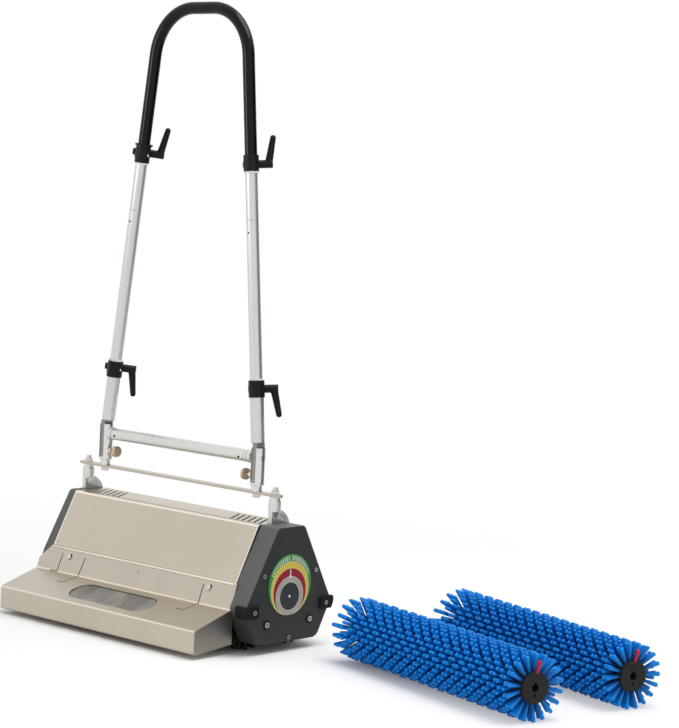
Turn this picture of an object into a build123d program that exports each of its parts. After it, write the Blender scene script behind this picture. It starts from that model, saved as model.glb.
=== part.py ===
"""Counter-rotating brush scrubber, one STEP file for each piece, in millimetres.

+X runs along the brushes to the dial end, -Y is the tray side, +Z is up and the floor is Z = 0.
X = 0 lies midway between the outer faces of the end covers and Y = 0 midway between the brush axes.
"""

import math
import os

from build123d import *

# Clearances
FIT = 0.05  # radial clearance of a shaft that turns or slides in its hole
SEAT = 0.1  # gap between pieces that are bolted or pressed together
AIR = 0.5  # least gap between a moving piece and what it passes

# Sheet and plate
END_WALL = 3.0
PLATE = 3.0
PLATE_GAP = 1.0
SHEET = 1.5
BEND = 2.0  # inner bend radius of folded sheet

# Brushes
BRUSH_RADIUS = 47.5
BRUSH_LENGTH = 427.0
BRUSH_GAP = 2.0  # between the two brushes
BRUSH_HALF_PITCH = BRUSH_RADIUS + BRUSH_GAP / 2
CORE_RADIUS = 23.0
CORE_WALL = 5.0
HUB_DEPTH = 24.0
BORE_RADIUS = 5.8
KEY_WIDTH = 3.6
KEY_HEIGHT = 1.8
PIN_HOLE_RADIUS = 2.1
PIN_HOLE_OFFSET = 11.0
COLLAR_RADIUS = 11.0
STUB_TAIL_RADIUS = 6.0

# Handle arms, which stand inside the end covers
DISC_RADIUS = 33.0
DISC_THICK = 8.0
LEFT_ARM_GAP = 2.0  # from the left side plate to its arm
LEFT_RIM_GAP = 5.0  # from the left arm to the cover's rim
RIGHT_ARM_GAP = 5.0  # from the right arm to the right side plate
PIVOT_DROP = 10.5  # pivot below the top of the covers

# Gears and pulleys, from the right side plate outwards
RIGHT_PLATE_SET = 8.0  # side plate inside the cover's rim
GEAR_GAP = 2.0
GEAR_WIDTH = 9.0
PULLEY_GAP = 1.5
PULLEY_WIDTH = 10.0
PULLEY_END_GAP = 2.5
GEAR_TEETH = 22
GEAR_PITCH_RADIUS = BRUSH_HALF_PITCH / 3
GEAR_MODULE = 2 * GEAR_PITCH_RADIUS / GEAR_TEETH
ADDENDUM = 0.9
DEDENDUM = 1.25
BACKLASH = 0.35
PRESSURE_ANGLE = math.radians(20.0)
FLANK_POINTS = 4
SPINDLE_RADIUS = BORE_RADIUS - FIT
SPINDLE_END_RADIUS = 4.5
SPINDLE_PROUD = 2.5
SPINDLE_GRIP = 22.0
BEARING_RADIUS = 13.0
BUSH_RADIUS = 7.5
BUSH_FLANGE = 1.2
BUSH_SLEEVE_RADIUS = 6.2
IDLER_PIN_RADIUS = 5.0
PULLEY_FLANGE = 1.2
PULLEY_LIP = 1.6
DRIVEN_RADIUS = 19.0
DRIVER_RADIUS = 11.0
BELT_GAP = 0.3
BELT_THICK = 1.0
BELT_SIDE_GAP = 0.5

# Overall machine, along X
BRUSH_END_GAP = 1.5  # from a cover's rim to the brush
LEFT_DEPTH = END_WALL + PLATE + LEFT_ARM_GAP + DISC_THICK + LEFT_RIM_GAP
GEAR_ROOM = GEAR_GAP + GEAR_WIDTH + PULLEY_GAP + PULLEY_WIDTH + PULLEY_END_GAP
RIGHT_DEPTH = RIGHT_PLATE_SET + PLATE + GEAR_ROOM + END_WALL
LENGTH = LEFT_DEPTH + BRUSH_LENGTH + 2 * BRUSH_END_GAP + RIGHT_DEPTH
RIGHT_FACE = LENGTH / 2
LEFT_FACE = -LENGTH / 2
RIGHT_RIM = RIGHT_FACE - RIGHT_DEPTH
LEFT_RIM = LEFT_FACE + LEFT_DEPTH
BRUSH_LEFT = LEFT_RIM + BRUSH_END_GAP
BRUSH_RIGHT = BRUSH_LEFT + BRUSH_LENGTH
LEFT_PLATE_X = LEFT_FACE + END_WALL
RIGHT_PLATE_X = RIGHT_RIM + RIGHT_PLATE_SET
GEAR_X = RIGHT_PLATE_X + PLATE + GEAR_GAP
PULLEY_X = GEAR_X + GEAR_WIDTH + PULLEY_GAP
SPINDLE_END_X = RIGHT_FACE + SPINDLE_PROUD
LEFT_ARM_X = LEFT_PLATE_X + PLATE + LEFT_ARM_GAP + DISC_THICK / 2
RIGHT_ARM_X = RIGHT_PLATE_X - RIGHT_ARM_GAP - DISC_THICK / 2
HANDLE_X = (LEFT_ARM_X + RIGHT_ARM_X) / 2
ARM_HALF = (RIGHT_ARM_X - LEFT_ARM_X) / 2

# Motor
MOTOR_RADIUS = 38.0
MOTOR_RISE = 52.5  # foot of the motor above the brush axes
MOTOR_Z = BRUSH_RADIUS + MOTOR_RISE + MOTOR_RADIUS
MOTOR_STANDOFF = 26.0
MOTOR_LENGTH = 198.0
MOTOR_RIGHT = RIGHT_PLATE_X - MOTOR_STANDOFF
MOTOR_LEFT = MOTOR_RIGHT - MOTOR_LENGTH
MOTOR_WALL = 8.0
ROTOR_GAP = 1.0
ROTOR_MARGIN = 22.0
SHAFT_RADIUS = 6.0
STANDOFF_RADIUS = 5.0
STANDOFF_Y = 28.0
STANDOFF_RISE = 12.0

# Section of the covers
SIDE_ROOM = 2.0  # beside the brushes
WIDEST_RISE = 26.5  # widest point above the brush axes
HEAD_ROOM = 22.0  # above the motor
FOOT_INSET = 30.0
FOOT_Z = 16.0
WIDEST_HALF = BRUSH_HALF_PITCH + BRUSH_RADIUS + SIDE_ROOM
WIDEST_Z = BRUSH_RADIUS + WIDEST_RISE
FOOT_HALF = WIDEST_HALF - FOOT_INSET
TOP_Z = MOTOR_Z + MOTOR_RADIUS + HEAD_ROOM
TOP_INSET = 63.0  # from the widest point in to the top edge
TOP_HALF = WIDEST_HALF - TOP_INSET
END_TOP_INSET = 5.0
END_TOP_HALF = TOP_HALF - END_TOP_INSET
END_TOP_RADIUS = 9.0
END_SIDE_RADIUS = 13.0
END_FOOT_RADIUS = 17.0
END_EDGE_RADIUS = 2.0
COVER_SLOPE = (WIDEST_HALF - TOP_HALF) / (TOP_Z - WIDEST_Z)

# Main cover
FOLD_RISE = 35.5  # fold above the widest point
FLANGE_HEIGHT = 27.5
SKIRT_HEIGHT = 14.0
FOLD_Z = WIDEST_Z + FOLD_RISE
FLANGE_LOW_Z = FOLD_Z - FLANGE_HEIGHT
SKIRT_LOW_Z = WIDEST_Z - SKIRT_HEIGHT
VENT_COUNTS = (5, 6)  # left and right group
VENT_PITCH = 12.6
VENT_WIDTH = 5.0
VENT_SLANT = 30.0  # of each slot from the depth direction, its rear end to the left, in degrees
VENT_MARGIN = 9.0
VENT_HALF_LENGTH = TOP_HALF - VENT_MARGIN
VENT_LEFT_INSET = 52.4
VENT_RIGHT_INSET = 55.4
VENT_CENTRES = (LEFT_RIM + VENT_LEFT_INSET, RIGHT_RIM - VENT_RIGHT_INSET)

# Rails
RAIL_SIDE = 12.0
RAIL_RISE = 44.0  # above the widest point
RAIL_MARGIN = 8.6  # from the cover's slope
RAIL_Z = WIDEST_Z + RAIL_RISE
RAIL_Y = WIDEST_HALF - (RAIL_RISE + RAIL_SIDE / 2) * COVER_SLOPE - RAIL_MARGIN - RAIL_SIDE / 2

# Loose brushes: near end of the axis from the right end face, and the way the near end points
FREE_BRISTLE = 2.0  # bristles that no weight presses stand this much further out
LOOSE_RADIUS = BRUSH_RADIUS + FREE_BRISTLE
LOOSE_FRONT_OUT = 535.1
LOOSE_FRONT_Y = -62.7
LOOSE_FRONT_NEAR = (RIGHT_FACE + LOOSE_FRONT_OUT, LOOSE_FRONT_Y)
LOOSE_FRONT_ANGLE = -14.73
LOOSE_REAR_OUT = 572.0
LOOSE_REAR_Y = 121.1
LOOSE_REAR_NEAR = (RIGHT_FACE + LOOSE_REAR_OUT, LOOSE_REAR_Y)
LOOSE_REAR_ANGLE = -16.25

# Tray
BACK_LEAN = math.radians(17.5)  # lean of the back plate from upright
BACK_HEIGHT = 42.5
TRAY_REACH = 72.0  # front of the tray beyond the widest point
TRAY_FRONT_Y = -WIDEST_HALF - TRAY_REACH
TRAY_LOW_Z = 7.0
TRAY_FRONT_HEIGHT = 37.9
TRAY_FRONT_TOP_Z = TRAY_LOW_Z + TRAY_FRONT_HEIGHT
TRAY_REAR_RISE = 8.5
TRAY_REAR_INSET = 6.0
TRAY_REAR = (-WIDEST_HALF + TRAY_REAR_INSET, TRAY_LOW_Z + TRAY_REAR_RISE)
TRAY_WALL_REAR_Y = TRAY_REAR[0] + BEND + PLATE_GAP
TRAY_LEFT_PROUD = 2.9
TRAY_LEFT = LEFT_FACE - TRAY_LEFT_PROUD
TRAY_RIGHT_LAP = 4.5  # over the rim of the right end cover
TRAY_RIGHT = RIGHT_RIM + TRAY_RIGHT_LAP
TRAY_GAP = 0.2
TRAY_CORNER = (26.0, 25.0)  # chamfer at the upper left corner, along the edge and down the plate
WINDOW_SPAN = 186.0
WINDOW_X = (TRAY_LEFT + TRAY_RIGHT) / 2
WINDOW_NEAR = 14.0  # down the slope from the fold
WINDOW_WIDTH = 50.0
PANE_LAP = 6.0
PANE = 2.0
SLIT = 0.9
TRAY_SCREW_INSETS = (71.1, 58.1)
TRAY_SCREW_X = (TRAY_LEFT + TRAY_SCREW_INSETS[0], TRAY_RIGHT - TRAY_SCREW_INSETS[1])
TRAY_SCREW_DROP = 13.8  # below the fold of the main cover
TRAY_SCREW_Z = FOLD_Z - TRAY_SCREW_DROP
TRAY_SCREW_RADIUS = 2.2
TRAY_SCREW_HEAD = 5.0
TRAY_SCREW_HEAD_HEIGHT = 3.0
RIVET_OFFSET = 7.2
RIVET_RADIUS = 2.5
RIVET_HEIGHT = 1.0
TRAY_TRAVEL = 5.0
TRAY_SLOT_ANGLE = 38.0  # slope of the slanted slots in the back plate, in degrees
# Slits around the left and right screw as runs of (distance from the screw along X, distance from the fold),
# up the back plate when positive and down the top when negative
LEFT_SLITS = (
    ((-16.7, 31.0), (-20.1, 0.6)),
    ((-20.1, 0.0), (-37.2, 0.0)),
    ((38.3, 31.0), (32.8, 0.6)),
    ((32.8, 0.0), (25.8, -27.0)),
    ((25.8, -27.0), (12.8, -27.6)),
)
RIGHT_SLITS = (
    ((-12.4, 31.0), (-13.4, 0.6)),
    ((-13.4, 0.0), (-20.7, -27.0)),
    ((-20.7, -27.0), (-34.4, -27.6)),
)

# Dial, bumpers and screws on the right end
DIAL_RADIUS = 48.0
DIAL_RISE = 32.5  # above the widest point
DIAL_Z = WIDEST_Z + DIAL_RISE
DIAL_THICK = 0.8
BUMPER_THICK = 4.5
BUMPER_INSET = 28.0
BUMPER_INNER_Y = WIDEST_HALF - BUMPER_INSET
BUMPER_DROP = 13.5
BUMPER_HEIGHT = 20.0
BUMPER_LOW_Z = WIDEST_Z - BUMPER_DROP
BUMPER_HIGH_Z = BUMPER_LOW_Z + BUMPER_HEIGHT
BUMPER_REACH = 20.0
BUMPER_SCREW_INSET = 17.0
BUMPER_SCREW_Y = WIDEST_HALF - BUMPER_SCREW_INSET
SCREW_SHANK = 2.0
SCREW_HEAD = 4.0
SCREW_HEAD_HEIGHT = 1.6
SCREW_DEPTH = 2.6
SCREW_HOLE = 4.0
UPPER_SCREW_Y = 58.5
UPPER_SCREW_RISE = 50.5  # above the widest point
UPPER_SCREW = (UPPER_SCREW_Y, WIDEST_Z + UPPER_SCREW_RISE)
LOWER_SCREW_Y = 2.0
LOWER_SCREW_RISE = 7.0  # above the foot of the cover
LOWER_SCREW = (LOWER_SCREW_Y, FOOT_Z + LOWER_SCREW_RISE)

# Rear switch and cable gland, measured from the covers' rims and down the rear slope from the top edge
SWITCH_INSET = 110.0
SWITCH_X = RIGHT_RIM - SWITCH_INSET
SWITCH_DOWN = 48.0
SWITCH_SIZE = (30.0, 22.0)
SWITCH_FLANGE = 2.0
SWITCH_DEPTH = 14.0
SWITCH_MARGIN = 3.0
ROCKER_SIZE = (20.0, 11.0, 8.0)
ROCKER_ROOM = 1.2
ROCKER_PROUD = 2.0
ROCKER_PIN_RADIUS = 1.2
ROCKER_PIN_REACH = 1.6
GLAND_INSET = 104.0
GLAND_X = LEFT_RIM + GLAND_INSET
GLAND_DOWN = 50.0
GLAND_RADIUS = 11.0
GLAND_NECK = 8.0
GLAND_BORE = 4.0
GLAND_OUT = 20.0
GLAND_IN = 12.0
GLAND_FLANGE = 5.0

# Handle foot
PIVOT_Z = TOP_Z - PIVOT_DROP
PIVOT_RADIUS = 5.0
PIVOT_HEAD = 7.0
PIVOT_HEAD_THICK = 3.0
ARM_HUB_RADIUS = 11.0
POST_RADIUS = 10.0
POST_NECK = 8.5
POST_NECK_HEIGHT = 6.0
POST_EDGE = 1.0
POST_FOOT_RISE = 19.0  # above the top of the covers
POST_FOOT_Z = TOP_Z + POST_FOOT_RISE
POST_HEIGHT = 23.0
BAR_Z = POST_FOOT_Z + POST_HEIGHT
BAR_THICK = 4.0
BAR_TOP = BAR_Z + BAR_THICK
BAR_HALF_WIDTH = 7.5
BAR_LEFT_OVERHANG = 19.0
BAR_RIGHT_OVERHANG = 14.0
ARM_GROOVE_RADIUS = 27.5
ARM_GROOVE_WIDTH = 1.4
ARM_GROOVE_DEPTH = 0.8
BOLT_RADIUS = 4.0
BOLT_HEAD_RADIUS = 7.0
BOLT_HEAD_HEIGHT = 6.0
TOP_BOLT_HEIGHT = 11.0
BOLT_GRIP = 12.0
ARM_SLOT_FRONT = -POST_RADIUS - 4 * AIR
ARM_SLOT_REAR = DISC_RADIUS + 3 * AIR
ARM_SLOT_SIDE = 2.5
ARM_SLOT_DEPTH = 18.0

# Forks, crossbar and plungers
FORK_INSET = 41.0
FORK_HALF = ARM_HALF - FORK_INSET
FORK_RADIUS = 11.5
FORK_NECK = 8.5
FORK_NECK_HEIGHT = 9.0
FORK_EDGE = 1.5
FORK_HEIGHT = 69.0
FORK_TOP_Z = BAR_TOP + FORK_HEIGHT
FORK_SLOT = 10.0
FORK_FOOT = 14.0
FORK_SLOT_Z = BAR_TOP + FORK_FOOT
FOLD_PIN_DROP = 15.5
FOLD_PIN_Z = FORK_TOP_Z - FOLD_PIN_DROP
FOLD_PIN_RADIUS = 4.0
TONGUE_GAP = 0.3
TONGUE_THICK = FORK_SLOT - 2 * TONGUE_GAP
TONGUE_HALF = 9.0
TONGUE_LOW = 35.5
TONGUE_HIGH = 22.4
CROSSBAR_RADIUS = 10.0
FERRULE_RADIUS = 10.6
FERRULE_LENGTH = 9.0
PLUNGER_DROP = 29.2  # below the fold pin
PLUNGER_Z = FOLD_PIN_Z - PLUNGER_DROP
PLUNGER_RADIUS = 3.0
PLUNGER_TRAVEL = 8.0
PLUNGER_BOSS_RADIUS = 5.5
KNOB_RADIUS = 9.5
KNOB_THICK = 6.0
PLUNGER_BOSS = 4.0
PLUNGER_BACK = 1.0

# Legs
LEG_LEAN = math.radians(6.4)  # towards each other
LEG_BACK = math.radians(0.87)  # towards the rear
LOWER_RADIUS = 11.1
MIDDLE_RADIUS = 10.0
LOWER_BORE = MIDDLE_RADIUS + FIT
MIDDLE_BORE = 8.5
TUBE_START = 23.5
SPIGOT_START = 22.0
SPIGOT_END = 46.0
NECK_RADIUS = 4.6
MIDDLE_START = 50.0
LOWER_JOINT_RISE = 109.5  # from the fold pin to the lower left clamp
MIDDLE_RISE = 361.5  # from the lower left clamp to the upper one
LOWER_RIGHT_DROP = 2.0  # right clamps below the left ones
UPPER_RIGHT_DROP = 8.5
BOW_SPIGOT = 40.0
BOW_RISE = 237.5  # from the upper left clamp to the top of the bow's axis
BOW_BEND = 84.0
BOW_BORE = 7.2

# Clamp collars and levers
COLLAR_TURN = 42.0  # plan direction of the clamp bolts, in degrees from +X
LOWER_COLLAR_RADIUS = 12.9
LOWER_COLLAR_HALF = 13.5
UPPER_COLLAR_RADIUS = 12.4
UPPER_LEFT_HALF = 15.5
UPPER_RIGHT_HALF = 13.0
COLLAR_LIP_RADIUS = 14.6
COLLAR_LIP = 3.0
EAR_REACH = 25.0
EAR_HALF = 9.0
LEFT_EAR_BACK = 13.5  # the left clamps' nuts stand further out
EAR_HALF_HEIGHT = 8.5
COLLAR_SPLIT = 2.0
CLAMP_OFFSET = 18.0
CLAMP_BOLT_RADIUS = 3.0
NUT_RADIUS = 5.6
NUT_THICK = 5.0
HUB_RADIUS = 6.6
HUB_GAP = 1.0
HUB_START = EAR_HALF + HUB_GAP
HUB_LENGTH = 24.0
HUB_END = HUB_START + HUB_LENGTH
ARM_START = 27.0
ARM_LENGTH = 41.5
ARM_ROOT_RADIUS = 6.3
ARM_TIP_RADIUS = 4.7
LOWER_SPLAY = 7.0
UPPER_SPLAY = 8.0

CENTRE_CENTRE_LOW = (Align.CENTER, Align.CENTER, Align.MIN)
nodes = {}


# Shape helpers
def block(x0, x1, y0, y1, z0, z1):
    """Box between two opposite corners."""
    return Pos((x0 + x1) / 2, (y0 + y1) / 2, (z0 + z1) / 2) * Box(x1 - x0, y1 - y0, z1 - z0)


def rod(start, end, radius):
    """Cylinder from one point to another."""
    axis = Vector(*end) - Vector(*start)
    return Plane(origin=start, z_dir=axis) * Cylinder(radius, axis.length, align=CENTRE_CENTRE_LOW)


def rod_x(x0, x1, y, z, radius):
    """Cylinder along X."""
    return rod((x0, y, z), (x1, y, z), radius)


def ring_x(x0, x1, y, z, radius, bore):
    """Tube along X."""
    return rod_x(x0, x1, y, z, radius) - rod_x(x0, x1, y, z, bore)


def hexagon(start, end, radius):
    """Six-sided bar from one point to another."""
    axis = Vector(*end) - Vector(*start)
    return extrude(Plane(origin=start, z_dir=axis) * RegularPolygon(radius, 6), amount=axis.length)


def group(*shapes):
    """Separate solids that share one node."""
    return Compound(children=[solid for shape in shapes for solid in shape.solids()])


def offset_path(points, depth, closed):
    """Run of points moved to its left by depth, with mitred corners."""
    count = len(points)
    moved = []
    for i in range(count):
        lines = []
        for j in (i - 1, i):
            if not closed and (j < 0 or j >= count - 1):
                continue
            (y0, z0), (y1, z1) = points[j], points[(j + 1) % count]
            size = math.hypot(y1 - y0, z1 - z0)
            lines.append(((y1 - y0) / size, (z1 - z0) / size))
        if len(lines) == 1:
            (dy, dz), turn = lines[0], 1.0
            ny, nz = -dz, dy
        else:
            (ay, az), (by, bz) = lines
            ny, nz = -az - bz, ay + by
            size = math.hypot(ny, nz)
            ny, nz = ny / size, nz / size
            turn = -az * ny + ay * nz
        moved.append((points[i][0] + ny * depth / turn, points[i][1] + nz * depth / turn))
    return moved


def rounded(points, radii):
    """Closed face with each corner rounded by its own radius."""
    count = len(points)
    starts, mids, ends = [], [], []
    for i in range(count):
        here = Vector(*points[i])
        back = (Vector(*points[i - 1]) - here).normalized()
        ahead = (Vector(*points[(i + 1) % count]) - here).normalized()
        half = math.acos(max(-1.0, min(1.0, back.dot(ahead)))) / 2
        middle = (back + ahead).normalized()
        reach = radii[i] / math.tan(half)
        starts.append(here + back * reach)
        ends.append(here + ahead * reach)
        mids.append(here + middle * (radii[i] / math.sin(half) - radii[i]))
    edges = []
    for i in range(count):
        if radii[i] > 0:
            edges.append(ThreePointArc(starts[i], mids[i], ends[i]))
        edges.append(Line(ends[i], starts[(i + 1) % count]))
    return make_face(edges)


def sheet(path, thick):
    """Section of folded sheet whose outer surface follows path, with the metal on the left of it."""
    inner = offset_path(path, thick, False)
    outer_radii, inner_radii = [0.0], [0.0]
    for (ay, az), (by, bz), (cy, cz) in zip(path, path[1:], path[2:]):
        left = (by - ay) * (cz - bz) - (bz - az) * (cy - by) > 0
        outer_radii.append(BEND + thick if left else BEND)
        inner_radii.append(BEND if left else BEND + thick)
    outer_radii.append(0.0)
    inner_radii.append(0.0)
    return rounded(path + inner[::-1], outer_radii + inner_radii[::-1])


def prism_x(face, x0, x1):
    """Section in Y and Z drawn out along X."""
    plane = Plane(origin=(x0, 0, 0), x_dir=(0, 1, 0), z_dir=(1, 0, 0))
    return extrude(plane * face, amount=x1 - x0, dir=(1, 0, 0))


# Sections that several pieces share
END_POINTS = [
    (FOOT_HALF, FOOT_Z),
    (WIDEST_HALF, WIDEST_Z),
    (END_TOP_HALF, TOP_Z),
    (-END_TOP_HALF, TOP_Z),
    (-WIDEST_HALF, WIDEST_Z),
    (-FOOT_HALF, FOOT_Z),
]
END_HALF_RADII = [END_FOOT_RADIUS, END_SIDE_RADIUS, END_TOP_RADIUS]
END_RADII = END_HALF_RADII + END_HALF_RADII[::-1]


def end_section(depth):
    """Section of the end covers, moved in by depth or out by a negative one."""
    return rounded(offset_path(END_POINTS, depth, True), [radius - depth for radius in END_RADII])


FOLD_Y = -TOP_HALF - (TOP_Z - FOLD_Z) * COVER_SLOPE
BACK_DOWN = (-math.sin(BACK_LEAN), -math.cos(BACK_LEAN))
BACK_OUT = (-math.cos(BACK_LEAN), math.sin(BACK_LEAN))
BACK_STEP = SHEET + TRAY_GAP
TRAY_HEAD = (FOLD_Y + BACK_OUT[0] * BACK_STEP, FOLD_Z + BACK_OUT[1] * BACK_STEP)
TRAY_FOLD = (TRAY_HEAD[0] + BACK_DOWN[0] * BACK_HEIGHT, TRAY_HEAD[1] + BACK_DOWN[1] * BACK_HEIGHT)
TRAY_LIP = (TRAY_FRONT_Y, TRAY_FRONT_TOP_Z)
TRAY_TOE = (TRAY_FRONT_Y, TRAY_LOW_Z)
TOP_RUN = math.hypot(TRAY_LIP[0] - TRAY_FOLD[0], TRAY_LIP[1] - TRAY_FOLD[1])
TOP_OUT = ((TRAY_LIP[0] - TRAY_FOLD[0]) / TOP_RUN, (TRAY_LIP[1] - TRAY_FOLD[1]) / TOP_RUN)
BACK_PLANE = Plane(origin=(0, *TRAY_FOLD), x_dir=(1, 0, 0), z_dir=(0, *BACK_OUT))
TOP_PLANE = Plane(origin=(0, *TRAY_FOLD), x_dir=(1, 0, 0), z_dir=(0, TOP_OUT[1], -TOP_OUT[0]))
SCREW_UP = (TRAY_SCREW_Z - TRAY_FOLD[1]) / math.cos(BACK_LEAN)
SLOT_HALF = DISC_THICK / 2 + ARM_SLOT_SIDE


def tray_relief(depth):
    """Space in front of the left end cover that the tray's back plate takes, grown inward by depth."""
    width = LEFT_DEPTH + 2 * END_WALL
    reach = 2 * BACK_HEIGHT
    low = -AIR - SHEET - depth
    return BACK_PLANE * Pos(LEFT_FACE + LEFT_DEPTH / 2, BACK_HEIGHT / 2, low) * Box(
        width, reach, reach, align=CENTRE_CENTRE_LOW
    )


def tray_notch():
    """Space in the rim of the right end cover that the end of the tray takes."""
    width = TRAY_RIGHT_LAP + AIR
    place = Pos(RIGHT_RIM + width / 2, BACK_HEIGHT / 2, -AIR - SHEET)
    behind_plate = BACK_PLANE * place * Box(width, BACK_HEIGHT + 2 * AIR, TRAY_REACH, align=CENTRE_CENTRE_LOW)
    high = TRAY_FOLD[1]
    return behind_plate + block(RIGHT_RIM, RIGHT_RIM + width, TRAY_FRONT_Y, TRAY_WALL_REAR_Y + AIR, 0, high)


def arm_slot(x):
    """Space cut from the top for a handle arm."""
    return block(
        x - SLOT_HALF, x + SLOT_HALF, ARM_SLOT_FRONT, ARM_SLOT_REAR, TOP_Z - ARM_SLOT_DEPTH, TOP_Z + END_WALL
    )


def screw_x(face_x, y, z):
    """Button screw on a face that looks along +X."""
    head = rod_x(face_x, face_x + SCREW_HEAD_HEIGHT, y, z, SCREW_HEAD)
    head = fillet(head.edges().group_by(Axis.X)[-1], SCREW_HEAD_HEIGHT / 2)
    return head + rod_x(face_x - SCREW_DEPTH, face_x, y, z, SCREW_SHANK)


def screw_hole_x(face_x, y, z):
    """Hole that such a screw sits in."""
    return rod_x(face_x - SCREW_HOLE, face_x + SCREW_HOLE, y, z, SCREW_SHANK + SEAT)


# Right end cover, bumpers, dial and screws
BRUSH_SIDES = (-BRUSH_HALF_PITCH, BRUSH_HALF_PITCH)
COVER_SCREWS = [(-UPPER_SCREW[0], UPPER_SCREW[1]), UPPER_SCREW, LOWER_SCREW]
BUMPER_Z = (BUMPER_LOW_Z + BUMPER_HIGH_Z) / 2
right_shell = prism_x(end_section(0), RIGHT_RIM, RIGHT_FACE)
right_shell = fillet(right_shell.edges().group_by(Axis.X)[-1], END_EDGE_RADIUS)
right_cover = right_shell - prism_x(end_section(END_WALL), RIGHT_RIM, RIGHT_FACE - END_WALL)
right_cover -= arm_slot(RIGHT_ARM_X)
right_cover -= tray_notch()
for y in BRUSH_SIDES:
    right_cover -= rod_x(RIGHT_RIM, RIGHT_FACE + END_WALL, y, BRUSH_RADIUS, BUSH_SLEEVE_RADIUS + SEAT)
for y, z in COVER_SCREWS:
    right_cover -= screw_hole_x(RIGHT_FACE, y, z)
nodes["right_end_cover"] = right_cover

bumper = prism_x(end_section(-BUMPER_THICK), RIGHT_FACE - BUMPER_REACH, RIGHT_FACE + BUMPER_THICK)
bumper = fillet(bumper.edges().group_by(Axis.X)[-1], BUMPER_THICK / 2)
bumper_seat = prism_x(end_section(-SEAT), RIGHT_RIM, RIGHT_FACE + SEAT)
bumper -= fillet(bumper_seat.edges().group_by(Axis.X)[-1], END_EDGE_RADIUS)
far = WIDEST_HALF + 2 * BUMPER_THICK
low_x, high_x = RIGHT_RIM, RIGHT_FACE + 2 * BUMPER_THICK
front_bumper = bumper & block(low_x, high_x, -far, -BUMPER_INNER_Y, BUMPER_LOW_Z, BUMPER_HIGH_Z)
rear_bumper = bumper & block(low_x, high_x, BUMPER_INNER_Y, far, BUMPER_LOW_Z, BUMPER_HIGH_Z)
BUMPER_FACE = RIGHT_FACE + BUMPER_THICK
bumper_sites = [(-BUMPER_SCREW_Y, BUMPER_Z), (BUMPER_SCREW_Y, BUMPER_Z)]
bumpers = [front_bumper, rear_bumper]
for i, (y, z) in enumerate(bumper_sites):
    bumpers[i] -= screw_hole_x(BUMPER_FACE, y, z)
nodes["corner_bumpers"] = group(*bumpers)
nodes["cover_screws"] = group(
    *[screw_x(RIGHT_FACE, y, z) for y, z in COVER_SCREWS],
    *[screw_x(BUMPER_FACE, y, z) for y, z in bumper_sites],
)
dial = rod_x(RIGHT_FACE, RIGHT_FACE + DIAL_THICK, 0, DIAL_Z, DIAL_RADIUS)
nodes["dial_plate"] = dial
nodes["spindle_bushes"] = group(
    *[
        rod_x(RIGHT_FACE, RIGHT_FACE + BUSH_FLANGE, y, BRUSH_RADIUS, BUSH_RADIUS)
        + rod_x(RIGHT_FACE - END_WALL, RIGHT_FACE, y, BRUSH_RADIUS, BUSH_SLEEVE_RADIUS)
        - rod_x(RIGHT_RIM, RIGHT_FACE + END_WALL, y, BRUSH_RADIUS, SPINDLE_END_RADIUS + FIT)
        for y in BRUSH_SIDES
    ]
)

# Left end cover, set back where the tray hangs in front of it
left_shell = prism_x(end_section(0), LEFT_FACE, LEFT_RIM)
left_shell = fillet(left_shell.edges().group_by(Axis.X)[0], END_EDGE_RADIUS) - tray_relief(0)
left_room = prism_x(end_section(END_WALL), LEFT_FACE + END_WALL, LEFT_RIM) - tray_relief(END_WALL)
nodes["left_end_cover"] = left_shell - left_room - arm_slot(LEFT_ARM_X)

# Main cover, one folded sheet
cover_path = [
    (WIDEST_HALF, SKIRT_LOW_Z),
    (WIDEST_HALF, WIDEST_Z),
    (TOP_HALF, TOP_Z),
    (-TOP_HALF, TOP_Z),
    (FOLD_Y, FOLD_Z),
    (FOLD_Y - (FOLD_Z - FLANGE_LOW_Z) * math.tan(BACK_LEAN), FLANGE_LOW_Z),
]
COVER_LEFT = LEFT_RIM + TRAY_GAP
COVER_RIGHT = RIGHT_RIM - TRAY_GAP
main_cover = prism_x(sheet(cover_path, SHEET), COVER_LEFT, COVER_RIGHT)
main_cover -= arm_slot(RIGHT_ARM_X)
for centre, count in zip(VENT_CENTRES, VENT_COUNTS):
    for i in range(count):
        x = centre + (i - (count - 1) / 2) * VENT_PITCH
        vent = SlotCenterToCenter(2 * VENT_HALF_LENGTH, VENT_WIDTH, rotation=90 + VENT_SLANT)
        main_cover -= extrude(Pos(x, 0, TOP_Z - END_WALL) * vent, amount=2 * END_WALL)
for x in TRAY_SCREW_X:
    hole = Cylinder(TRAY_SCREW_RADIUS + SEAT, 4 * BACK_STEP)
    main_cover -= BACK_PLANE * Pos(x, SCREW_UP, -BACK_STEP) * hole
SLOPE_RUN = math.hypot(WIDEST_HALF - TOP_HALF, TOP_Z - WIDEST_Z)
SLOPE_OUT = (0, (TOP_Z - WIDEST_Z) / SLOPE_RUN, (WIDEST_HALF - TOP_HALF) / SLOPE_RUN)
REAR_PLANE = Plane(origin=(0, TOP_HALF, TOP_Z), x_dir=(-1, 0, 0), z_dir=SLOPE_OUT)
SWITCH_AT = (-SWITCH_X, -SWITCH_DOWN)
GLAND_AT = (-GLAND_X, -GLAND_DOWN)
BODY_SIZE = (SWITCH_SIZE[0] - 2 * SWITCH_MARGIN, SWITCH_SIZE[1] - 2 * SWITCH_MARGIN)
switch_hole = Box(BODY_SIZE[0] + 2 * SEAT, BODY_SIZE[1] + 2 * SEAT, 4 * SHEET)
main_cover -= REAR_PLANE * Pos(*SWITCH_AT, 0) * switch_hole
main_cover -= REAR_PLANE * Pos(*GLAND_AT, 0) * Cylinder(GLAND_NECK + SEAT, 4 * SHEET)
nodes["main_cover"] = main_cover

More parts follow.
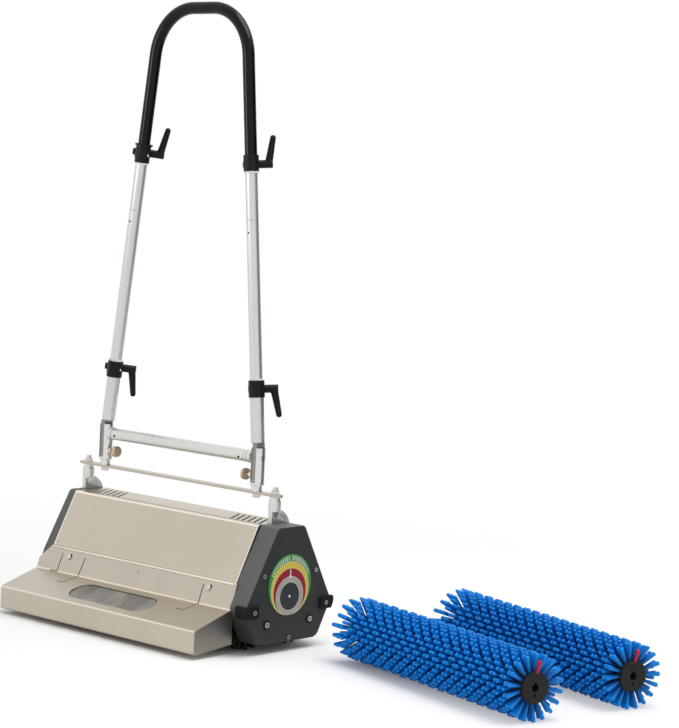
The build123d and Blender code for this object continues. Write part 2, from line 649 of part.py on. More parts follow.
# Switch and cable gland on the rear slope
ROCKER_CUT = (ROCKER_SIZE[0] + 2 * ROCKER_ROOM, ROCKER_SIZE[1] + 2 * ROCKER_ROOM)
ROCKER_MID = SWITCH_FLANGE + ROCKER_PROUD - ROCKER_SIZE[2] / 2
bezel = Box(*SWITCH_SIZE, SWITCH_FLANGE, align=CENTRE_CENTRE_LOW)
bezel += Pos(0, 0, -SWITCH_DEPTH) * Box(*BODY_SIZE, SWITCH_DEPTH, align=CENTRE_CENTRE_LOW)
ROCKER_FLOOR = ROCKER_MID - ROCKER_SIZE[2] / 2 - ROCKER_ROOM
bezel -= Pos(0, 0, ROCKER_FLOOR) * Box(*ROCKER_CUT, SWITCH_DEPTH, align=CENTRE_CENTRE_LOW)
PIN_SPAN = ROCKER_SIZE[0] + 2 * ROCKER_PIN_REACH
bezel -= Pos(0, 0, ROCKER_MID) * Rot(0, 90, 0) * Cylinder(ROCKER_PIN_RADIUS + FIT, PIN_SPAN + 2 * AIR)
rocker = Pos(0, 0, ROCKER_MID) * Box(*ROCKER_SIZE)
rocker += Pos(0, 0, ROCKER_MID) * Rot(0, 90, 0) * Cylinder(ROCKER_PIN_RADIUS, PIN_SPAN)
nodes["switch_bezel"] = REAR_PLANE * Pos(*SWITCH_AT, 0) * bezel
nodes["switch_rocker"] = REAR_PLANE * Pos(*SWITCH_AT, 0) * rocker
gland = Pos(0, 0, -GLAND_IN) * Cylinder(GLAND_NECK, GLAND_IN + GLAND_OUT, align=CENTRE_CENTRE_LOW)
gland += extrude(RegularPolygon(GLAND_RADIUS, 6), amount=GLAND_FLANGE)
gland -= Pos(0, 0, -GLAND_IN) * Cylinder(GLAND_BORE, GLAND_IN + GLAND_OUT, align=CENTRE_CENTRE_LOW)
nodes["cable_gland"] = REAR_PLANE * Pos(*GLAND_AT, 0) * gland

# Catch tray
tray_path = [TRAY_HEAD, TRAY_FOLD, TRAY_LIP, TRAY_TOE, TRAY_REAR]
tray = prism_x(sheet(tray_path, SHEET), TRAY_LEFT, TRAY_RIGHT)
FLOOR_SLOPE = TRAY_REAR_RISE / (TRAY_REAR[0] - TRAY_FRONT_Y)
REAR_FOOT_Z = TRAY_REAR[1] + (TRAY_WALL_REAR_Y - TRAY_REAR[0]) * FLOOR_SLOPE
wall_points = [
    (TRAY_WALL_REAR_Y, REAR_FOOT_Z),
    (TRAY_WALL_REAR_Y, TRAY_FOLD[1]),
    TRAY_FOLD,
    TRAY_LIP,
    TRAY_TOE,
]
wall = rounded(wall_points, [0, 0, 0, BEND + SHEET, BEND + SHEET])
tray += prism_x(wall, TRAY_LEFT, TRAY_LEFT + SHEET)
tray += prism_x(wall, TRAY_RIGHT - SHEET, TRAY_RIGHT)
corner = make_face(
    Polyline(
        (TRAY_LEFT - SHEET, BACK_HEIGHT + SHEET),
        (TRAY_LEFT - SHEET, BACK_HEIGHT - TRAY_CORNER[1]),
        (TRAY_LEFT, BACK_HEIGHT - TRAY_CORNER[1]),
        (TRAY_LEFT + TRAY_CORNER[0], BACK_HEIGHT + SHEET),
        close=True,
    )
)
tray -= extrude(BACK_PLANE * corner, amount=BACK_STEP, both=True)
WINDOW_V = -WINDOW_NEAR - WINDOW_WIDTH / 2
window = TOP_PLANE * Pos(WINDOW_X, WINDOW_V) * SlotOverall(WINDOW_SPAN, WINDOW_WIDTH)
tray -= extrude(window, 2 * SHEET, both=True)
for screw, slits in zip(TRAY_SCREW_X, (LEFT_SLITS, RIGHT_SLITS)):
    for (x0, v0), (x1, v1) in slits:
        plane = BACK_PLANE if max(v0, v1) > 0 else TOP_PLANE
        length = math.hypot(x1 - x0, v1 - v0) + SLIT
        turn = math.degrees(math.atan2(v1 - v0, x1 - x0))
        middle = Pos(screw + (x0 + x1) / 2, (v0 + v1) / 2)
        tray -= plane * middle * Rot(0, 0, turn) * Box(length, SLIT, 4 * SHEET)
SLOT_COS = math.cos(math.radians(TRAY_SLOT_ANGLE))
SLOT_SIN = math.sin(math.radians(TRAY_SLOT_ANGLE))
SLOT_WIDE = 2 * (TRAY_SCREW_RADIUS + AIR)
tray_screws = []
for x in TRAY_SCREW_X:
    slot = Rot(0, 0, TRAY_SLOT_ANGLE) * SlotCenterToCenter(TRAY_TRAVEL + AIR, SLOT_WIDE)
    middle = Pos(x + SLOT_COS * TRAY_TRAVEL / 2, SCREW_UP + SLOT_SIN * TRAY_TRAVEL / 2)
    tray -= extrude(BACK_PLANE * middle * slot, 2 * SHEET, both=True)
    head = Pos(0, 0, SEAT) * Cylinder(TRAY_SCREW_HEAD, TRAY_SCREW_HEAD_HEIGHT, align=CENTRE_CENTRE_LOW)
    head = fillet(head.edges().group_by(Axis.Z)[-1], TRAY_SCREW_HEAD_HEIGHT / 2)
    grip = 3 * BACK_STEP
    shank = Pos(0, 0, SEAT - grip) * Cylinder(TRAY_SCREW_RADIUS, grip, align=CENTRE_CENTRE_LOW)
    tray_screws.append(BACK_PLANE * Pos(x, SCREW_UP, 0) * (head + shank))
rivet = Cylinder(RIVET_RADIUS, RIVET_HEIGHT, align=CENTRE_CENTRE_LOW)
tray += BACK_PLANE * Pos(WINDOW_X + RIVET_OFFSET, SCREW_UP, 0) * rivet
nodes["catch_tray"] = tray
nodes["tray_screws"] = group(*tray_screws)
pane = SlotOverall(WINDOW_SPAN + 2 * PANE_LAP, WINDOW_WIDTH + 2 * PANE_LAP)
nodes["tray_window"] = extrude(TOP_PLANE * Pos(WINDOW_X, WINDOW_V, -SHEET - PANE) * pane, amount=PANE)

# Side plates, rails and pivot pins
left_plate = prism_x(end_section(END_WALL + PLATE_GAP), LEFT_PLATE_X, LEFT_PLATE_X + PLATE)
left_plate -= tray_relief(END_WALL + PLATE_GAP)
left_plate -= rod_x(LEFT_FACE, 0, 0, PIVOT_Z, PIVOT_RADIUS + SEAT)
right_plate = prism_x(end_section(END_WALL + PLATE_GAP), RIGHT_PLATE_X, RIGHT_PLATE_X + PLATE)
right_plate -= rod_x(0, RIGHT_FACE, 0, PIVOT_Z, PIVOT_RADIUS + SEAT)
right_plate -= rod_x(0, RIGHT_FACE, 0, MOTOR_Z, SHAFT_RADIUS + PLATE)
IDLER_Y = GEAR_PITCH_RADIUS
for y in BRUSH_SIDES:
    left_plate -= rod_x(LEFT_FACE, 0, y, BRUSH_RADIUS, STUB_TAIL_RADIUS + SEAT)
    right_plate -= rod_x(0, RIGHT_FACE, y, BRUSH_RADIUS, BEARING_RADIUS + SEAT)
for y in (-IDLER_Y, IDLER_Y):
    right_plate -= rod_x(0, RIGHT_FACE, y, BRUSH_RADIUS, IDLER_PIN_RADIUS + SEAT)
nodes["left_side_plate"] = left_plate
nodes["right_side_plate"] = right_plate
LEFT_INNER = LEFT_PLATE_X + PLATE
rail_half = RAIL_SIDE / 2
nodes["cross_rails"] = group(
    *[
        block(LEFT_INNER, RIGHT_PLATE_X, y - rail_half, y + rail_half, RAIL_Z - rail_half, RAIL_Z + rail_half)
        for y in (-RAIL_Y, RAIL_Y)
    ]
)
LEFT_HEAD = LEFT_ARM_X + DISC_THICK / 2 + AIR
RIGHT_HEAD = RIGHT_ARM_X - DISC_THICK / 2 - AIR
left_pin = rod_x(LEFT_PLATE_X, LEFT_HEAD, 0, PIVOT_Z, PIVOT_RADIUS)
left_pin += rod_x(LEFT_HEAD, LEFT_HEAD + PIVOT_HEAD_THICK, 0, PIVOT_Z, PIVOT_HEAD)
left_pin += rod_x(LEFT_INNER, LEFT_ARM_X - DISC_THICK / 2 - AIR, 0, PIVOT_Z, PIVOT_HEAD)
right_pin = rod_x(RIGHT_HEAD, RIGHT_PLATE_X + PLATE, 0, PIVOT_Z, PIVOT_RADIUS)
right_pin += rod_x(RIGHT_HEAD - PIVOT_HEAD_THICK, RIGHT_HEAD, 0, PIVOT_Z, PIVOT_HEAD)
right_pin += rod_x(RIGHT_ARM_X + DISC_THICK / 2 + AIR, RIGHT_PLATE_X, 0, PIVOT_Z, PIVOT_HEAD)
nodes["handle_pivot_pins"] = group(left_pin, right_pin)

# Spindles, stubs and bearings
nodes["idle_stubs"] = group(
    *[
        rod_x(LEFT_PLATE_X, LEFT_INNER, y, BRUSH_RADIUS, STUB_TAIL_RADIUS)
        + rod_x(LEFT_INNER, BRUSH_LEFT - AIR, y, BRUSH_RADIUS, COLLAR_RADIUS)
        + rod_x(BRUSH_LEFT - AIR, BRUSH_LEFT + SPINDLE_GRIP, y, BRUSH_RADIUS, SPINDLE_RADIUS)
        for y in BRUSH_SIDES
    ]
)
nodes["spindle_bearings"] = group(
    *[
        ring_x(RIGHT_PLATE_X, RIGHT_PLATE_X + PLATE, y, BRUSH_RADIUS, BEARING_RADIUS, SPINDLE_RADIUS + FIT)
        for y in BRUSH_SIDES
    ]
)
GEAR_END = GEAR_X + GEAR_WIDTH


def spindle(y):
    """Drive spindle of one brush, with the key that turns the brush."""
    start = BRUSH_RIGHT - SPINDLE_GRIP
    shaft = rod_x(start, GEAR_END, y, BRUSH_RADIUS, SPINDLE_RADIUS)
    shaft += rod_x(GEAR_END, SPINDLE_END_X, y, BRUSH_RADIUS, SPINDLE_END_RADIUS)
    shaft += rod_x(BRUSH_RIGHT + AIR, RIGHT_PLATE_X - AIR, y, BRUSH_RADIUS, COLLAR_RADIUS)
    half = KEY_WIDTH / 2 - FIT
    top = BRUSH_RADIUS + BORE_RADIUS + KEY_HEIGHT - SEAT
    return shaft + block(start, BRUSH_RIGHT, y - half, y + half, BRUSH_RADIUS, top)


def gear_face(turn):
    """Spur gear with involute flanks, turned by an angle in radians."""
    base = GEAR_PITCH_RADIUS * math.cos(PRESSURE_ANGLE)
    tip = GEAR_PITCH_RADIUS + ADDENDUM * GEAR_MODULE
    root = GEAR_PITCH_RADIUS - DEDENDUM * GEAR_MODULE
    half = math.pi / 2 / GEAR_TEETH - BACKLASH / 2 / GEAR_PITCH_RADIUS
    half += math.tan(PRESSURE_ANGLE) - PRESSURE_ANGLE
    flank = [(root, half)]
    for i in range(FLANK_POINTS):
        radius = base + (tip - base) * i / (FLANK_POINTS - 1)
        roll = math.acos(base / radius)
        flank.append((radius, half - math.tan(roll) + roll))
    points = []
    for tooth in range(GEAR_TEETH):
        middle = turn + 2 * math.pi * tooth / GEAR_TEETH
        for radius, angle in flank:
            points.append((radius * math.cos(middle - angle), radius * math.sin(middle - angle)))
        for radius, angle in flank[::-1]:
            points.append((radius * math.cos(middle + angle), radius * math.sin(middle + angle)))
    return make_face(Polyline(*points, close=True))


def gear(y, bore, turn):
    """One gear of the row behind the right side plate."""
    blank = prism_x(Pos(y, BRUSH_RADIUS) * gear_face(turn), GEAR_X, GEAR_END)
    return blank - rod_x(GEAR_X, GEAR_END, y, BRUSH_RADIUS, bore)


HALF_TOOTH = math.pi / GEAR_TEETH
IDLER_BORE = IDLER_PIN_RADIUS + FIT
nodes["front_spindle"] = spindle(-BRUSH_HALF_PITCH)
nodes["rear_spindle"] = spindle(BRUSH_HALF_PITCH)
nodes["front_gear"] = gear(-BRUSH_HALF_PITCH, SPINDLE_RADIUS + FIT, 0)
nodes["front_idler_gear"] = gear(-IDLER_Y, IDLER_BORE, HALF_TOOTH)
nodes["rear_idler_gear"] = gear(IDLER_Y, IDLER_BORE, 0)
nodes["rear_gear"] = gear(BRUSH_HALF_PITCH, SPINDLE_RADIUS + FIT, HALF_TOOTH)
PULLEY_END = PULLEY_X + PULLEY_WIDTH
nodes["idler_pins"] = group(
    rod_x(RIGHT_PLATE_X, PULLEY_END + AIR, -IDLER_Y, BRUSH_RADIUS, IDLER_PIN_RADIUS),
    rod_x(RIGHT_PLATE_X, GEAR_END + AIR, IDLER_Y, BRUSH_RADIUS, IDLER_PIN_RADIUS),
)


# Belt drive and motor
def pulley(y, z, radius, bore):
    """Flanged belt pulley."""
    wheel = rod_x(PULLEY_X, PULLEY_END, y, z, radius)
    wheel += rod_x(PULLEY_X, PULLEY_X + PULLEY_FLANGE, y, z, radius + PULLEY_LIP)
    wheel += rod_x(PULLEY_END - PULLEY_FLANGE, PULLEY_END, y, z, radius + PULLEY_LIP)
    return wheel - rod_x(PULLEY_X, PULLEY_END, y, z, bore)


def belt_face(growth):
    """Outline around both pulleys, larger than them by growth."""
    driven = Pos(-IDLER_Y, BRUSH_RADIUS) * Circle(DRIVEN_RADIUS + growth)
    driver = Pos(0, MOTOR_Z) * Circle(DRIVER_RADIUS + growth)
    return make_hull(driven.edges() + driver.edges())


nodes["driven_pulley"] = pulley(-IDLER_Y, BRUSH_RADIUS, DRIVEN_RADIUS, IDLER_BORE)
nodes["motor_pulley"] = pulley(0, MOTOR_Z, DRIVER_RADIUS, SHAFT_RADIUS + FIT)
BELT_X = PULLEY_X + PULLEY_FLANGE + BELT_SIDE_GAP
BELT_END = PULLEY_END - PULLEY_FLANGE - BELT_SIDE_GAP
nodes["drive_belt"] = prism_x(belt_face(BELT_GAP + BELT_THICK) - belt_face(BELT_GAP), BELT_X, BELT_END)
motor = rod_x(MOTOR_LEFT, MOTOR_RIGHT, 0, MOTOR_Z, MOTOR_RADIUS)
motor -= rod_x(MOTOR_LEFT + MOTOR_WALL, MOTOR_RIGHT - MOTOR_WALL, 0, MOTOR_Z, MOTOR_RADIUS - MOTOR_WALL)
nodes["motor_can"] = motor - rod_x(MOTOR_LEFT, MOTOR_RIGHT, 0, MOTOR_Z, SHAFT_RADIUS + FIT)
ROTOR_RADIUS = MOTOR_RADIUS - MOTOR_WALL - ROTOR_GAP
rotor = rod_x(MOTOR_LEFT + ROTOR_MARGIN, MOTOR_RIGHT - ROTOR_MARGIN, 0, MOTOR_Z, ROTOR_RADIUS)
nodes["motor_rotor"] = rotor + rod_x(MOTOR_LEFT, PULLEY_END, 0, MOTOR_Z, SHAFT_RADIUS)
nodes["motor_mount"] = group(
    *[
        rod_x(MOTOR_RIGHT, RIGHT_PLATE_X, y, z, STANDOFF_RADIUS)
        for y in (-STANDOFF_Y, STANDOFF_Y)
        for z in (MOTOR_Z - STANDOFF_RISE, MOTOR_Z + STANDOFF_RISE)
    ]
)


# Brushes
def brush_core(place):
    """Core with a hub in each end; the far hub has the keyway."""
    core = Cylinder(CORE_RADIUS, BRUSH_LENGTH, align=CENTRE_CENTRE_LOW)
    room = Cylinder(CORE_RADIUS - CORE_WALL, BRUSH_LENGTH - 2 * HUB_DEPTH, align=CENTRE_CENTRE_LOW)
    core -= Pos(0, 0, HUB_DEPTH) * room
    core -= Cylinder(BORE_RADIUS, BRUSH_LENGTH, align=CENTRE_CENTRE_LOW)
    hub = BRUSH_LENGTH - HUB_DEPTH
    core -= Pos(0, (BORE_RADIUS + KEY_HEIGHT) / 2, hub) * Box(
        KEY_WIDTH, BORE_RADIUS + KEY_HEIGHT, HUB_DEPTH, align=CENTRE_CENTRE_LOW
    )
    hole = Cylinder(PIN_HOLE_RADIUS, HUB_DEPTH, align=CENTRE_CENTRE_LOW)
    return place * (core - Pos(0, -PIN_HOLE_OFFSET, hub) * hole)


def bristles(place, radius):
    """Space that the bristles fill around the core."""
    sleeve = Cylinder(radius, BRUSH_LENGTH, align=CENTRE_CENTRE_LOW)
    return place * (sleeve - Cylinder(CORE_RADIUS + SEAT, BRUSH_LENGTH, align=CENTRE_CENTRE_LOW))


def mounted(y):
    """Place of a brush in the machine."""
    return Plane(origin=(BRUSH_LEFT, y, BRUSH_RADIUS), x_dir=(0, 1, 0), z_dir=(1, 0, 0))


def loose(near, degrees):
    """Place of a brush on the floor."""
    way = (math.cos(math.radians(degrees)), math.sin(math.radians(degrees)))
    far_end = (near[0] - way[0] * BRUSH_LENGTH, near[1] - way[1] * BRUSH_LENGTH, LOOSE_RADIUS)
    return Plane(origin=far_end, x_dir=(-way[1], way[0], 0), z_dir=(*way, 0))


for name, place, radius in (
    ("front_brush", mounted(-BRUSH_HALF_PITCH), BRUSH_RADIUS),
    ("rear_brush", mounted(BRUSH_HALF_PITCH), BRUSH_RADIUS),
    ("loose_front", loose(LOOSE_FRONT_NEAR, LOOSE_FRONT_ANGLE), LOOSE_RADIUS),
    ("loose_rear", loose(LOOSE_REAR_NEAR, LOOSE_REAR_ANGLE), LOOSE_RADIUS),
):
    nodes[name + "_core"] = brush_core(place)
    nodes[name + "_bristles"] = bristles(place, radius)


# Handle foot: pivot arms, tie bar, forks, crossbar and plungers
def pivot_arm(x):
    """Post on a quarter disc that turns on its pivot pin."""
    x0, x1 = x - DISC_THICK / 2, x + DISC_THICK / 2
    reach = PIVOT_Z + DISC_RADIUS
    arm = rod_x(x0, x1, 0, PIVOT_Z, DISC_RADIUS) & block(x0, x1, -POST_RADIUS, DISC_RADIUS, PIVOT_Z, reach)
    arm += rod_x(x0, x1, 0, PIVOT_Z, ARM_HUB_RADIUS)
    for side in (x0, x1 - ARM_GROOVE_DEPTH):
        inner, outer = ARM_GROOVE_RADIUS - ARM_GROOVE_WIDTH, ARM_GROOVE_RADIUS
        groove = ring_x(side, side + ARM_GROOVE_DEPTH, 0, PIVOT_Z, outer, inner)
        arm -= groove & block(x0, x1, POST_RADIUS, DISC_RADIUS, PIVOT_Z, reach)
    neck_z = BAR_Z - POST_NECK_HEIGHT
    head = rod((x, 0, POST_FOOT_Z), (x, 0, neck_z), POST_RADIUS)
    arm += fillet(head.edges().sort_by(Axis.Z)[-1:], POST_EDGE)
    arm += rod((x, 0, neck_z), (x, 0, BAR_Z), POST_NECK)
    drop = POST_RADIUS
    taper = Cone(DISC_THICK / 2, POST_RADIUS, drop, align=CENTRE_CENTRE_LOW)
    arm += Pos(x, 0, POST_FOOT_Z - drop) * taper
    arm -= rod_x(x0, x1, 0, PIVOT_Z, PIVOT_RADIUS + FIT)
    return arm - rod((x, 0, BAR_Z - BOLT_GRIP), (x, 0, BAR_Z), BOLT_RADIUS + SEAT)


nodes["left_pivot_arm"] = pivot_arm(LEFT_ARM_X)
nodes["right_pivot_arm"] = pivot_arm(RIGHT_ARM_X)
LEFT_FORK_X = HANDLE_X - FORK_HALF
RIGHT_FORK_X = HANDLE_X + FORK_HALF
FORKS = ((LEFT_FORK_X, 1), (RIGHT_FORK_X, -1))  # middle of each fork and the way to its inner side
BAR_LENGTH = 2 * ARM_HALF + BAR_LEFT_OVERHANG + BAR_RIGHT_OVERHANG
BAR_X = HANDLE_X + (BAR_RIGHT_OVERHANG - BAR_LEFT_OVERHANG) / 2
tie_bar = extrude(Pos(BAR_X, 0, BAR_Z) * SlotOverall(BAR_LENGTH, 2 * BAR_HALF_WIDTH), amount=BAR_THICK)
bolts = []
for x in (LEFT_ARM_X, RIGHT_ARM_X):
    tie_bar -= rod((x, 0, BAR_Z), (x, 0, BAR_TOP), BOLT_RADIUS + SEAT)
    bolt = rod((x, 0, BAR_Z - BOLT_GRIP), (x, 0, BAR_TOP + TOP_BOLT_HEIGHT), BOLT_RADIUS)
    bolts.append(bolt + hexagon((x, 0, BAR_TOP), (x, 0, BAR_TOP + BOLT_HEAD_HEIGHT), BOLT_HEAD_RADIUS))
for x in (LEFT_FORK_X, RIGHT_FORK_X):
    tie_bar -= rod((x, 0, BAR_Z), (x, 0, BAR_TOP), BOLT_RADIUS + SEAT)
    bolt = rod((x, 0, BAR_Z), (x, 0, BAR_TOP + BOLT_GRIP), BOLT_RADIUS)
    bolts.append(bolt + hexagon((x, 0, BAR_Z - BOLT_HEAD_HEIGHT), (x, 0, BAR_Z), BOLT_HEAD_RADIUS))
nodes["tie_bar"] = tie_bar
nodes["tie_bar_bolts"] = group(*bolts)


def fork(x, inner):
    """Two cheeks on a round foot, with the boss of the spring plunger on the inner one."""
    boss_end = x + inner * (FORK_RADIUS + PLUNGER_BOSS)
    neck_z = BAR_TOP + FORK_NECK_HEIGHT
    body = fillet(rod((x, 0, neck_z), (x, 0, FORK_TOP_Z), FORK_RADIUS).edges().sort_by(Axis.Z)[:1], FORK_EDGE)
    body += rod((x, 0, BAR_TOP), (x, 0, neck_z), FORK_NECK)
    body += rod_x(x, boss_end, 0, PLUNGER_Z, PLUNGER_BOSS_RADIUS)
    half = FORK_SLOT / 2
    body -= block(x - half, x + half, -FORK_RADIUS, FORK_RADIUS, FORK_SLOT_Z, FORK_TOP_Z)
    body -= rod((x, 0, BAR_TOP), (x, 0, BAR_TOP + BOLT_GRIP), BOLT_RADIUS + SEAT)
    body -= rod_x(x - 2 * FORK_RADIUS, x + 2 * FORK_RADIUS, 0, FOLD_PIN_Z, FOLD_PIN_RADIUS + SEAT)
    return body - rod_x(x, boss_end, 0, PLUNGER_Z, PLUNGER_RADIUS + FIT)


def plunger(x, inner):
    """Spring plunger, parked out of the leg's tongue."""
    tip = x + inner * (FORK_SLOT / 2 + PLUNGER_BACK)
    knob = x + inner * (FORK_RADIUS + PLUNGER_BOSS + PLUNGER_TRAVEL + AIR)
    crown = rod_x(knob, knob + inner * KNOB_THICK, 0, PLUNGER_Z, KNOB_RADIUS)
    crown = fillet(crown.edges().sort_by(Axis.X)[-1 if inner > 0 else 0], KNOB_THICK / 3)
    return crown + rod_x(tip, knob, 0, PLUNGER_Z, PLUNGER_RADIUS)


def fold_pin(x, inner):
    """Pin through both cheeks, flush on the outer side."""
    outer = x - inner * (FORK_RADIUS - AIR)
    return rod_x(outer, x + inner * (FORK_RADIUS - 2 * AIR), 0, FOLD_PIN_Z, FOLD_PIN_RADIUS)


crossbar = rod_x(LEFT_FORK_X + FORK_SLOT, RIGHT_FORK_X - FORK_SLOT, 0, FOLD_PIN_Z, CROSSBAR_RADIUS)
for x, inner in FORKS:
    ferrule = x + inner * FORK_SLOT
    crossbar += rod_x(ferrule, ferrule + inner * FERRULE_LENGTH, 0, FOLD_PIN_Z, FERRULE_RADIUS)
for x, inner in FORKS:
    crossbar -= rod((x, 0, BAR_TOP), (x, 0, FORK_TOP_Z), FORK_RADIUS + SEAT)
nodes["crossbar"] = crossbar
nodes["left_fork"] = fork(*FORKS[0])
nodes["right_fork"] = fork(*FORKS[1])
nodes["left_plunger"] = plunger(*FORKS[0])
nodes["right_plunger"] = plunger(*FORKS[1])
nodes["fold_pins"] = group(*[fold_pin(x, inner) for x, inner in FORKS])


# Legs and bow
def handle_point(x, rise):
    """Point in the handle's plane at a distance up from the fold pins."""
    return (x, rise * math.sin(LEG_BACK), FOLD_PIN_Z + rise * math.cos(LEG_BACK))


def leg_point(x, inner, run):
    """Point on a leg's axis at a distance from the fold pin."""
    return handle_point(x + inner * run * math.sin(LEG_LEAN), run * math.cos(LEG_LEAN))


def leg_run(rise):
    """Distance along a leg at which it has risen so far."""
    return rise / math.cos(LEG_LEAN)


def leg_rod(x, inner, start, end, radius):
    """Cylinder along a leg."""
    return rod(leg_point(x, inner, start), leg_point(x, inner, end), radius)


def leg_foot(x, inner):
    """Flat tongue between the cheeks and the spigot that the lower tube sits on."""
    half = TONGUE_THICK / 2
    low, high = FOLD_PIN_Z - TONGUE_LOW, FOLD_PIN_Z + TONGUE_HIGH
    foot = block(x - half, x + half, -TONGUE_HALF, TONGUE_HALF, low, high)
    foot += leg_rod(x, inner, SPIGOT_START, SPIGOT_END, LOWER_BORE - FIT)
    foot += leg_rod(x, inner, SPIGOT_START - AIR, SPIGOT_END, NECK_RADIUS)
    foot -= rod_x(x - 2 * half, x + 2 * half, 0, FOLD_PIN_Z, FOLD_PIN_RADIUS + FIT)
    return foot - rod_x(x - 2 * half, x + 2 * half, 0, PLUNGER_Z, PLUNGER_RADIUS + FIT)


def leg_tube(x, inner, start, end, radius, bore):
    """Piece of tube along a leg."""
    return leg_rod(x, inner, start, end, radius) - leg_rod(x, inner, start - AIR, end + AIR, bore)


UPPER_JOINT_RISE = LOWER_JOINT_RISE + MIDDLE_RISE
LOWER_RUNS = [leg_run(LOWER_JOINT_RISE - drop) for drop in (0, LOWER_RIGHT_DROP)]
UPPER_RUNS = [leg_run(UPPER_JOINT_RISE - drop) for drop in (0, UPPER_RIGHT_DROP)]
nodes["leg_feet"] = group(*[leg_foot(*one) for one in FORKS])
nodes["lower_tubes"] = group(
    *[leg_tube(*one, TUBE_START, run, LOWER_RADIUS, LOWER_BORE) for one, run in zip(FORKS, LOWER_RUNS)]
)
nodes["middle_tubes"] = group(
    *[leg_tube(*one, MIDDLE_START, run, MIDDLE_RADIUS, MIDDLE_BORE) for one, run in zip(FORKS, UPPER_RUNS)]
)
BOW_TOP_RISE = UPPER_JOINT_RISE + BOW_RISE
BEND_RISE = BOW_TOP_RISE - BOW_BEND * (1 - math.sin(LEG_LEAN))
BEND_RUN = leg_run(BEND_RISE)
HALF_TURN = (LEG_LEAN + math.pi / 2) / 2


def bow_bend(x, inner):
    """Start, middle and end of the bend at the top of a leg."""
    start = leg_point(x, inner, BEND_RUN)
    half_x = start[0] + inner * BOW_BEND * (math.cos(LEG_LEAN) - math.cos(HALF_TURN))
    half_rise = BEND_RISE + BOW_BEND * (math.sin(HALF_TURN) - math.sin(LEG_LEAN))
    end_x = start[0] + inner * BOW_BEND * math.cos(LEG_LEAN)
    return start, handle_point(half_x, half_rise), handle_point(end_x, BOW_TOP_RISE)


left_bend, right_bend = bow_bend(*FORKS[0]), bow_bend(*FORKS[1])
bow_start = leg_point(*FORKS[0], UPPER_RUNS[0])
bow_path = Wire(
    [
        Line(bow_start, left_bend[0]),
        ThreePointArc(*left_bend),
        Line(left_bend[2], right_bend[2]),
        ThreePointArc(*right_bend[::-1]),
        Line(right_bend[0], leg_point(*FORKS[1], UPPER_RUNS[1])),
    ]
)
section = Plane(origin=bow_start, z_dir=Vector(*left_bend[0]) - Vector(*bow_start))
bow = sweep(section * Circle(MIDDLE_RADIUS), path=bow_path)
bow -= sweep(section * Circle(BOW_BORE), path=bow_path)
for one, run in zip(FORKS, UPPER_RUNS):
    bow += leg_tube(*one, run - BOW_SPIGOT, run, MIDDLE_BORE - FIT, BOW_BORE)
nodes["bow_handle"] = bow


# Clamp collars and levers
def clamp_place(x, inner, run):
    """Middle of a collar: local X along the clamp bolt, local Z along the leg."""
    turn = math.radians(COLLAR_TURN)
    lean = Vector(*leg_point(x, inner, 1)) - Vector(*leg_point(x, inner, 0))
    across = Vector(math.cos(turn), math.sin(turn), 0)
    return Plane(origin=leg_point(x, inner, run), x_dir=across - lean * across.dot(lean), z_dir=lean)


def collar(place, radius, half, low_bore, back, lip):
    """Split collar with two ears and the nut of its clamp bolt."""
    body = Pos(0, 0, -half) * Cylinder(radius, 2 * half, align=CENTRE_CENTRE_LOW)
    if lip:
        rim = Cylinder(COLLAR_LIP_RADIUS, COLLAR_LIP, align=CENTRE_CENTRE_LOW)
        body += Pos(0, 0, half - COLLAR_LIP) * rim
    body += block(-back, EAR_HALF, 0, EAR_REACH, -EAR_HALF_HEIGHT, EAR_HALF_HEIGHT)
    body -= Cylinder(MIDDLE_RADIUS + SEAT, 2 * half)
    body -= Pos(0, 0, -half) * Cylinder(low_bore + SEAT, half, align=CENTRE_CENTRE_LOW)
    body -= block(-COLLAR_SPLIT / 2, COLLAR_SPLIT / 2, 0, 2 * EAR_REACH, -half, half)
    bolt_hole = rod_x(-2 * back, 2 * EAR_HALF, CLAMP_OFFSET, 0, CLAMP_BOLT_RADIUS + FIT)
    nut = hexagon((-back - NUT_THICK, CLAMP_OFFSET, 0), (-back, CLAMP_OFFSET, 0), NUT_RADIUS)
    return group(place * (body - bolt_hole), place * (nut - bolt_hole))


def lever(place, back, way, splay):
    """Clamp lever with its bolt; the arm points along the leg, up or down."""
    piece = rod_x(-back - NUT_THICK, HUB_START, CLAMP_OFFSET, 0, CLAMP_BOLT_RADIUS)
    piece += rod_x(HUB_START, HUB_END, CLAMP_OFFSET, 0, HUB_RADIUS)
    slant = Vector(splay, 0, way * ARM_LENGTH)
    arm = Cone(ARM_ROOT_RADIUS, ARM_TIP_RADIUS, slant.length, align=CENTRE_CENTRE_LOW)
    piece += Plane(origin=(ARM_START, CLAMP_OFFSET, 0), z_dir=slant) * arm
    piece += Pos(ARM_START + splay, CLAMP_OFFSET, way * ARM_LENGTH) * Sphere(ARM_TIP_RADIUS)
    return place * piece


LOWER_PLACES = [clamp_place(*one, run) for one, run in zip(FORKS, LOWER_RUNS)]
UPPER_PLACES = [clamp_place(*one, run) for one, run in zip(FORKS, UPPER_RUNS)]
EAR_BACKS = (LEFT_EAR_BACK, EAR_HALF)
nodes["lower_collars"] = group(
    *[
        collar(place, LOWER_COLLAR_RADIUS, LOWER_COLLAR_HALF, LOWER_RADIUS, back, False)
        for place, back in zip(LOWER_PLACES, EAR_BACKS)
    ]
)
UPPER_HALVES = (UPPER_LEFT_HALF, UPPER_RIGHT_HALF)
nodes["upper_collars"] = group(
    *[
        collar(place, UPPER_COLLAR_RADIUS, half, MIDDLE_RADIUS, back, lip)
        for place, half, back, lip in zip(UPPER_PLACES, UPPER_HALVES, EAR_BACKS, (True, False))
    ]
)
nodes["lower_left_lever"] = lever(LOWER_PLACES[0], EAR_BACKS[0], -1, LOWER_SPLAY)
